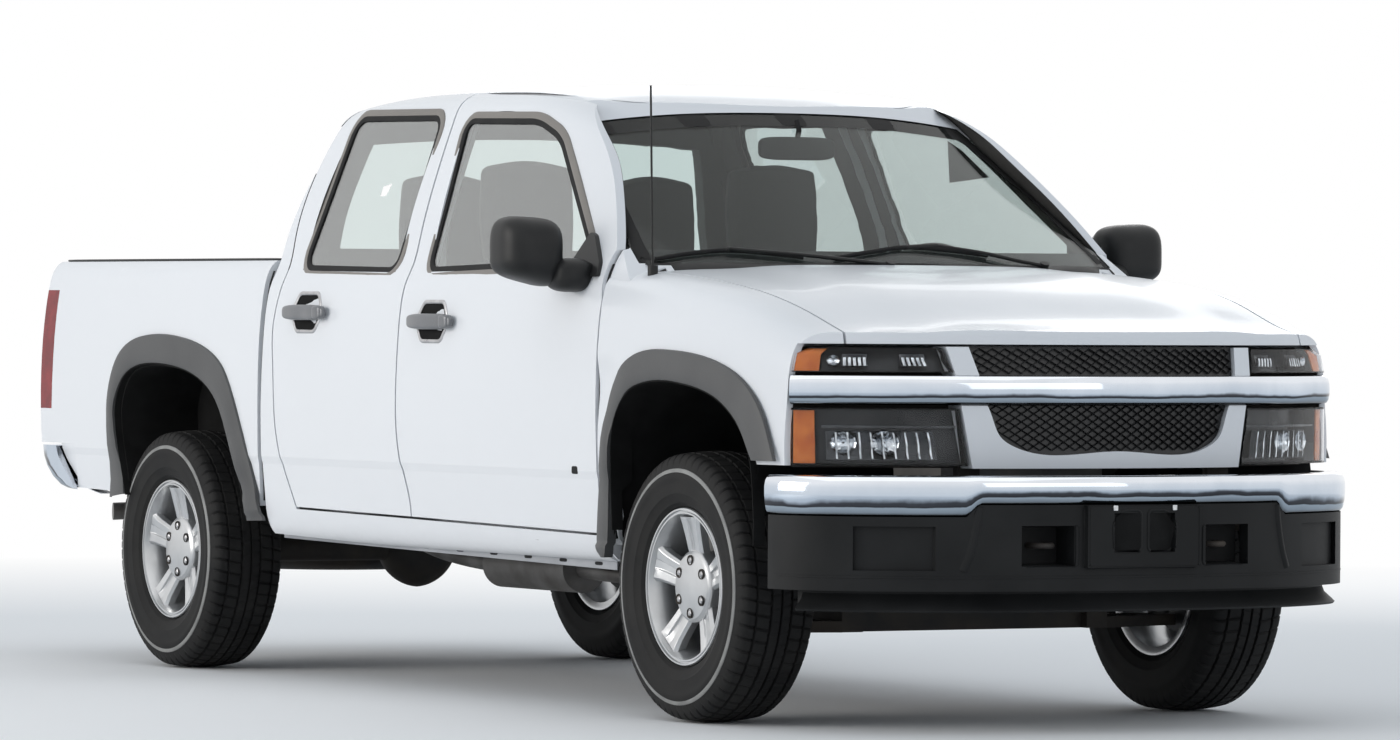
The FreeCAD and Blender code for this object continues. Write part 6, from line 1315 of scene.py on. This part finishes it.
barInfo = {"height": 0.885, "half": 0.0385, "middle": -0.45,
           "section": ((-0.040, -0.97), (-0.016, -0.99), (-0.008, -0.90), (-0.003, -0.70), (-0.0005, -0.35), (0.0, 0.0),
                       (-0.001, 0.40), (-0.004, 0.72), (-0.010, 0.93), (-0.018, 1.0), (-0.040, 0.98))}


def addNoseBar(info):
    run = planRun(surfaceOf("nose_bar"), info["height"], frontAxle + info["middle"])
    bar = noseBand("noseBar", run, info["section"], "chrome", 50.0, lambda spot, share: spot.z + share * info["half"])
    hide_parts("nose_bar")


bumperInfo = {"height": 0.62, "middle": -0.478, "top": 0.668, "low": 0.594, "endLow": 0.563, "step": (0.458, 0.486),
              "section": ((-0.056, 0.0), (-0.030, 0.0), (-0.018, 0.015), (-0.009, 0.06), (-0.003, 0.16), (0.0, 0.30),
                          (0.0, 0.52), (-0.002, 0.74), (-0.006, 0.90), (-0.012, 0.975), (-0.020, 1.0), (-0.050, 1.0))}


def addBumperChrome(info):
    run = planRun(surfaceOf("front_bumper"), info["height"], frontAxle + info["middle"], 161)
    start, end = info["step"]

    def heightAt(spot, down):
        share = min(max((abs(spot.x) - start) / (end - start), 0), 1)
        low = info["low"] + (info["endLow"] - info["low"]) * share
        return info["top"] + (low - info["top"]) * down

    chrome = noseBand("bumperChrome", run, info["section"], "chrome", 50.0, heightAt)
    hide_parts("front_bumper")


lipInfo = {"height": 0.345, "middle": -0.478,
           "section": ((-0.030, 0.030), (-0.001, 0.022), (0.006, 0.004), (0.026, -0.014), (0.034, -0.022),
                       (0.030, -0.027), (0.004, -0.022), (-0.030, -0.022))}


def addLip(info):
    run = planRun(surfaceOf("front_fascia"), info["height"], frontAxle + info["middle"], 141, 88.0)
    noseBand("valanceLip", run, info["section"], "fasciaPlastic", 30.0, lambda spot, rise: info["height"] + rise)


fasciaInfo = {
    "crease": 0.408, "middle": -0.478,
    "hook": ((0.190, 0.436), (0.338, 0.436), (0.338, 0.540), (0.190, 0.540)),
    "plate": ((-0.168, 0.433), (0.168, 0.433), (0.168, 0.592), (-0.168, 0.592)),
    "hole": ((0.012, 0.474), (0.090, 0.474), (0.094, 0.545), (0.066, 0.577), (0.012, 0.577)),
    "ridge": ((0.456, 0.588), (0.462, 0.540), (0.478, 0.470), (0.496, 0.424)),
    "hookMiddle": 0.262, "hookHigh": 0.488,
    "hookRun": ((-0.024, -0.84), (-0.024, -0.885), (0.0, -0.905), (0.024, -0.885), (0.024, -0.84)),
    # middle and half size
    "hookPocket": ((0.262, -0.8425, 0.49), (0.09, 0.0025, 0.06)),
    "plateClip": ((0.090, -0.9590, 0.585), (0.007, 0.002, 0.007)),
}
frameSection = ((-0.010, -0.004), (-0.010, 0.001), (-0.007, 0.003), (0.0, 0.003), (0.003, 0.0), (0.003, -0.006))
holeSection = ((-0.001, -0.003), (-0.001, 0.0015), (0.002, 0.0028), (0.005, 0.0015), (0.005, -0.003))
rimSection = ((-0.002, -0.010), (-0.002, 0.001), (0.005, 0.001), (0.007, -0.002), (0.007, -0.010))
creaseSection = ((-0.004, -0.004), (0.0012, -0.0025), (0.0012, 0.0025), (-0.004, 0.004))
ridgeSection = ((-0.016, -0.003), (-0.010, 0.0015), (-0.003, 0.0060), (0.001, 0.0065), (0.006, 0.0030), (0.014, -0.003))


def addFasciaTrim(info):
    tree = surfaceOf("front_fascia")
    place = onFront(tree, frontAxle - 0.8)
    for side in (1, -1):
        # An outline is mirrored and run the other way round on the truck's right.
        loops = {part: flatLoop([(side * x, z) for x, z in info[part]][::side], radius)
                 for part, radius in (("hook", 0.010), ("hole", 0.012))}
        bandOn(f"fasciaFrame.hook.{side}", loops["hook"], frameSection, place, "fasciaPlastic", "root")
        ridge = [(side * spot.x, spot.y) for spot in smoothRun([(x, z, 0) for x, z in info["ridge"]], 5)]
        bandOn(f"fasciaRidge.{side}", ridge[::-side], ridgeSection, place, "fasciaPlastic", "root", False, 60.0)
        front, back = ([place(Vector(spot), out) for spot in loops["hole"]] for out in (0.0012, -0.0020))
        slab(f"plateHole.{side}", front, back, "linerBlack", "root", 40.0)
        bandOn(f"plateHoleRim.{side}", loops["hole"], holeSection, place, "fasciaPlastic", "root")
        hook = [(side * info["hookMiddle"] + x, frontAxle + y, info["hookHigh"]) for x, y in info["hookRun"]]
        rod(f"towHook.{side}", smoothRun(hook, 6), 0.008, "frameSteel", "root")
        for name, finish, bevel in (("hookPocket", "sealRubber", 0.002), ("plateClip", "reflector", 0.0015)):
            (x, y, z), (halfX, halfY, halfZ) = info[name]
            block(f"{name}.{side}", (side * x - halfX, frontAxle + y - halfY, z - halfZ),
                  (side * x + halfX, frontAxle + y + halfY, z + halfZ), finish, "root", bevel)
    bandOn("plateRim", flatLoop(info["plate"], 0.012), rimSection, place, "fasciaPlastic", "root")
    run = planRun(tree, info["crease"], frontAxle + info["middle"], 121, 85.0)
    noseBand("fasciaCrease.408", run, creaseSection, "fasciaPlastic", 30.0, lambda spot, rise: info["crease"] + rise)
    print("bumper trim done")


# Lamps: a clear shell over a dark bowl with reflectors, bulbs and an amber end

lampShapes = {
    "low": {"low": 0.690, "high": 0.838, "innerLow": 0.4155, "innerHigh": 0.4400, "amber": 0.14, "rows": 9,
            "deep": 0.058},
    "high": {"low": 0.931, "high": 0.993, "innerLow": 0.4555, "innerHigh": 0.4720, "amber": 0.17, "rows": 5,
             "deep": 0.054},
}
# What lies behind each glass. Patches give span (along and up), depth, finish, thickness, steps and crown. Bowls give
# place (along and up), radius, depth and flutes. Each row of flutes gives its first place along.
lampInner = {
    "low": {
        "patches": {"band": (((0.16, 0.80), (0.10, 0.60)), 0.034, "lampSmoke", 0.003, (24, 6), 0.012),
                    "shelf": (((0.03, 0.82), (0.66, 0.70)), 0.014, "lampSmoke", 0.020, (20, 1), 0.0)},
        "bowls": {"main": (0.46, 0.40, 0.030, 0.026, 14), "second": (0.70, 0.40, 0.027, 0.026, 12)},
        "rows": {"flute": 0.19}, "flutes": 9, "fluteStep": 0.068, "fluteWide": 0.010,
        "flute": ((0.12, 0.58), 0.024, "reflector", 0.010, (1, 4), 0.0),
    },
    "high": {
        "patches": {"tray0.13": (((0.13, 0.30), (0.24, 0.74)), 0.030, "lampSmoke", 0.003, (8, 4), 0.008),
                    "tray0.52": (((0.52, 0.69), (0.24, 0.74)), 0.030, "lampSmoke", 0.003, (8, 4), 0.008)},
        "bowls": {"bulb": (0.745, 0.48, 0.013, 0.022, 8)},
        "rows": {"flute0.13.": 0.14, "flute0.52.": 0.53}, "flutes": 5, "fluteStep": 0.033, "fluteWide": 0.018,
        "flute": ((0.26, 0.60), 0.020, "reflector", 0.008, (2, 3), 0.002),
    },
}
headlampInfo = {"outerEnd": -0.5505, "middle": -0.45, "columns": 33, "glass": 0.003}


def lampGrid(tree, side, shape, info):
    # Rows of spots from the lamp's inner edge round to the fender, on the lamp's face.
    grid = []
    for row in range(shape["rows"]):
        share = row / (shape["rows"] - 1)
        height = shape["low"] + (shape["high"] - shape["low"]) * share
        inner = shape["innerLow"] + (shape["innerHigh"] - shape["innerLow"]) * share
        run = planRun(tree, height, frontAxle + info["middle"], 361)
        run = [spot for spot in run if spot.x * side > inner and spot.y < frontAxle + info["outerEnd"]]
        run.sort(key=lambda spot: math.atan2(abs(spot.x), frontAxle + info["middle"] - spot.y))
        lengths = [0.0]
        for before, after in zip(run, run[1:]):
            lengths.append(lengths[-1] + (after - before).length)
        line = []
        for column in range(info["columns"]):
            target = lengths[-1] * column / (info["columns"] - 1)
            index = max(i for i, length in enumerate(lengths[:-1]) if length <= target + 1e-9)
            step = max(lengths[index + 1] - lengths[index], 1e-9)
            line.append(run[index].lerp(run[index + 1], min((target - lengths[index]) / step, 1)))
        grid.append(line)
    return grid


def lampInward(grid, row, column, side):
    # The level way into the lamp, square to its face.
    line = grid[row]
    ahead = line[min(column + 1, len(line) - 1)] - line[max(column - 1, 0)]
    return Vector((-ahead.y, ahead.x, 0)).normalized() * side


def gridSpot(grid, along, rise, deep, side):
    # A spot on the lamp's face at a share of its length and of its height, sunk in by deep.
    rows, columns = len(grid), len(grid[0])
    row = min(int(rise * (rows - 1)), rows - 2)
    column = min(int(along * (columns - 1)), columns - 2)
    u, v = along * (columns - 1) - column, rise * (rows - 1) - row
    low = grid[row][column].lerp(grid[row][column + 1], u)
    high = grid[row + 1][column].lerp(grid[row + 1][column + 1], u)
    return low.lerp(high, v) + lampInward(grid, row, column, side) * deep


def lampPatch(name, grid, span, depth, finish, side, thick, steps, crown):
    # A patch behind the lamp's face over span (along and rise), closed with a back.
    (a0, a1), (r0, r1) = span
    columns, rows = steps
    points = []
    for layer in (0, 1):
        for row in range(rows + 1):
            for column in range(columns + 1):
                u, v = column / columns, row / rows
                deep = depth + layer * thick + crown * (1 - (2 * u - 1) ** 2) * (1 - (2 * v - 1) ** 2)
                points.append(gridSpot(grid, a0 + (a1 - a0) * u, r0 + (r1 - r0) * v, deep, side))
    across, size = columns + 1, (rows + 1) * (columns + 1)
    faces = gridFaces(rows + 1, across)
    faces += [tuple(size + index for index in reversed(face)) for face in faces]
    rim = list(range(across)) + [row * across + columns for row in range(1, rows + 1)]
    rim += [rows * across + column for column in range(columns - 1, -1, -1)]
    rim += [row * across for row in range(rows - 1, 0, -1)]
    faces += [(a, rim[(i + 1) % len(rim)], size + rim[(i + 1) % len(rim)], size + a) for i, a in enumerate(rim)]
    return addPiece(name, points, faces, finish, "root", 45.0)


def lampBowl(name, grid, along, rise, radius, deep, side, flutes):
    # A fluted round reflector with a bulb in it, set into the lamp.
    middle = gridSpot(grid, along, rise, deep, side)
    inward = lampInward(grid, 0, min(int(along * (len(grid[0]) - 1)), len(grid[0]) - 1), side)
    across = Vector((0, 0, 1)).cross(inward).normalized()
    points = []
    rings = ((0.10, 0.9), (0.35, 0.80), (0.62, 0.52), (0.84, 0.18), (1.0, -0.15))
    for share, sink in rings:
        for step in range(flutes * 4):
            angle = 2 * math.pi * step / (flutes * 4)
            ripple = 1 + 0.03 * math.cos(angle * flutes)
            spread = radius * share * ripple
            points.append(middle + across * math.cos(angle) * spread * 1.25 + Vector((0, 0, math.sin(angle) * spread))
                          + inward * (sink * radius * 0.5))
    addPiece(name, points, gridFaces(len(rings), flutes * 4, False, True), "reflector", "root", 25.0)
    start = middle + inward * radius * 0.45
    rod(name + ".bulb", [start, start - inward * radius * 0.35, start - inward * radius * 0.5], radius * 0.16,
        "lampGlass", "root", 12)


def addLamps():
    tree = surfaceOf("headlamps")
    whole = (0.0, 1.0)
    for sideName, side in sides.items():
        for kind, shape in lampShapes.items():
            grid = lampGrid(tree, side, shape, headlampInfo)
            name = f"lamp.{kind}.{sideName}"
            glass, deep = headlampInfo["glass"], shape["deep"] - 0.004

            def patch(part, span, depth, finish, thick, steps, crown=0.0):
                return lampPatch(f"{name}.{part}", grid, span, depth, finish, side, thick, steps, crown)

            bowl = patch("bowl", (whole, whole), deep, "lampBack", 0.002, (24, 8))
            if kind == "low" and side > 0:
                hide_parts("headlamps")
            patch("lens", (whole, whole), 0.0, "lampGlass", glass, (32, 8))
            patch("amber", ((1 - shape["amber"], 0.995), (0.04, 0.96)), 0.012, "amberLens", 0.004, (8, 8))
            for low, high in ((0.0, 0.035), (0.965, 1.0)):
                patch(f"wall{low}", (whole, (low, high)), glass, "sealRubber", deep, (32, 1))
            patch("innerWall", ((0.0, 0.012), whole), glass, "sealRubber", deep, (1, 4))
            inner = lampInner[kind]
            for part, values in inner["patches"].items():
                patch(part, *values)
            for part, (along, rise, radius, depth, flutes) in inner["bowls"].items():
                lampBowl(f"{name}.{part}", grid, along, rise, radius, depth, side, flutes)
            rise, *values = inner["flute"]
            for part, first in inner["rows"].items():
                for number in range(inner["flutes"]):
                    along = first + number * inner["fluteStep"]
                    patch(f"{part}{number}", ((along, along + inner["fluteWide"]), rise), *values)
    print("lamps done")


# Seats: crowned cushions with sewn channels

seatInfo = {
    "cushion": {"low": (-0.245, 1.105, 0.590), "high": (0.245, 1.560, 0.775), "lean": 0.0},
    "back": {"low": (-0.235, 1.560, 0.760), "high": (0.235, 1.690, 1.230), "lean": 16.0},
    "rest": {"low": (-0.132, 1.655, 1.215), "high": (0.132, 1.756, 1.500), "lean": 3.0},
}
seatMiddle = 0.4025
seatChannels = (-0.13, 0.13)
seatFoot = {"low": (-0.20, 1.15, 0.547), "high": (0.20, 1.53, 0.605)}
benchInfo = {
    "cushion": {"low": (-0.645, 1.975, 0.585), "high": (0.645, 2.30, 0.790), "lean": 0.0},
    "back": {"low": (-0.645, 2.285, 0.760), "high": (0.645, 2.395, 1.165), "lean": 8.0},
}
benchChannels = (-0.33, -0.12, 0.12, 0.33)
benchRest = {"low": (-0.13, 2.304, 1.150), "high": (0.13, 2.384, 1.472), "middle": 0.35}
cushionInfo = {"count": 15, "rounding": 0.32, "puff": 1.25, "seam": 0.006}


def cushion(name, low, high, lean, crown, channels):
    # A rounded block whose faces swell in the middle and dip along the sewn channels.
    low, high = Vector(low), Vector(high)
    middle, size = (low + high) / 2, (high - low) / 2
    tilt = Matrix.Rotation(math.radians(-lean), 3, "X")
    foot = Vector((0, 0, -size.z))
    rounding, seam = cushionInfo["rounding"], cushionInfo["seam"]

    def place(cube):
        soft = cube.normalized() * max(abs(value) for value in cube)
        mixed = cube.lerp(soft * cushionInfo["puff"], rounding)
        swell = 1 + crown * (1 - min(1, abs(mixed.x)) ** 2) * (1 - min(1, abs(mixed.z)) ** 2)
        dip = sum(math.exp(-((mixed.x * size.x - channel) / seam) ** 2) for channel in channels) * seam
        spot = Vector((mixed.x * size.x, mixed.y * size.y * swell, mixed.z * size.z))
        if abs(cube.y) >= 0.999:
            spot.y -= math.copysign(dip, cube.y)
        if cube.z >= 0.999:
            spot.z -= dip
        x, y, z = middle + foot + tilt @ (spot - foot)
        return x, frontAxle + y, z

    piece = addPiece(name, *cubeMesh(cushionInfo["count"], place), "seatCloth", "root", 60.0, 0.0, 1)
    return piece


def addSeats():
    for sideName, side in sides.items():
        middle = side * seatMiddle
        for part, info in seatInfo.items():
            channels = seatChannels if part != "rest" else ()
            piece = cushion(f"seat.{part}.{sideName}", moved(info["low"], middle), moved(info["high"], middle),
                            info["lean"], 0.16, channels)
            if part == "cushion" and side > 0:
                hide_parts("front_seats")
        block(f"seat.foot.{sideName}", moved(seatFoot["low"], middle, frontAxle),
              moved(seatFoot["high"], middle, frontAxle), "cabinPlastic", "root", 0.010)
    for part, info in benchInfo.items():
        piece = cushion(f"bench.{part}", info["low"], info["high"], info["lean"], 0.10, benchChannels)
        if part == "cushion":
            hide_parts("rear_bench")
    for sideName, side in sides.items():
        low, high = (moved(benchRest[corner], side * benchRest["middle"]) for corner in ("low", "high"))
        cushion(f"bench.rest.{sideName}", low, high, 0.0, 0.12, ())
    print("seats done")

def dressNodes():
    # The listed CAD nodes and every door node get a finish, also some that pieces of the scene stand for.
    plain = {
        "whitePaint": ("cab", "bed", "hood", "tailgate", "fender_left", "fender_right", "grille_surround"),
        "chrome": ("nose_bar", "front_bumper", "rear_bumper"),
        "fasciaPlastic": ("front_fascia",),
        "meshBlack": ("grille",),
        "frameSteel": ("frame", "radiator_support", "leaf_springs", "front_suspension", "rear_axle", "spare_wheel"),
        "castMetal": ("engine", "drive_line", "knuckle_left", "knuckle_right"),
        "exhaustSteel": ("exhaust",),
        "tankPlastic": ("fuel_tank",),
        "cabinPlastic": ("dashboard", "steering_wheel"),
        "windowGlass": ("fixed_glass",),
        "redLens": ("tail_lamps",),
        "lampBack": ("headlamps",),
        "blackPlastic": ("antenna",),
    }
    for finish, names in plain.items():
        for name in names:
            nodes[name].data.materials.clear()
            nodes[name].data.materials.append(finishes[finish])
    for name, node in nodes.items():
        if name.startswith("door_"):
            kind = "windowGlass" if "glass" in name else "blackPlastic" if "fittings" in name else "whitePaint"
            node.data.materials.clear()
            node.data.materials.append(finishes[kind])
    print("frame dressed")


addCamera(cameraInfo)
for lampName, lampInfo in lampsInfo.items():
    addLamp(lampName, lampInfo)
setWorld(worldInfo)
addFloor(floorInfo)
scene.view_settings.view_transform = "Standard"
finishes = {name: makeFinish(name, info) for name, info in finishInfo.items()}
finishes.update({name: makeGlass(name, info) for name, info in glassInfo.items()})
finishes["seatCloth"] = makeCloth("seatCloth", clothInfo)
print("studio and finishes done")
dressNodes()
addWheels()
addSideTrim()
addGrille()
addNoseBar(barInfo)
addBumperChrome(bumperInfo)
addLip(lipInfo)
addFasciaTrim(fasciaInfo)
addLamps()
addDoorFittings()
addShutLines(shutInfo)
addWindshieldTrim(screenInfo)
addPinchWeld(weldInfo)
addArchLiners()
addBedDetails(bedInfo)
addRearBumper(rearBumperInfo)
addRearDetails(rearInfo)
addLinings()
addSeats()
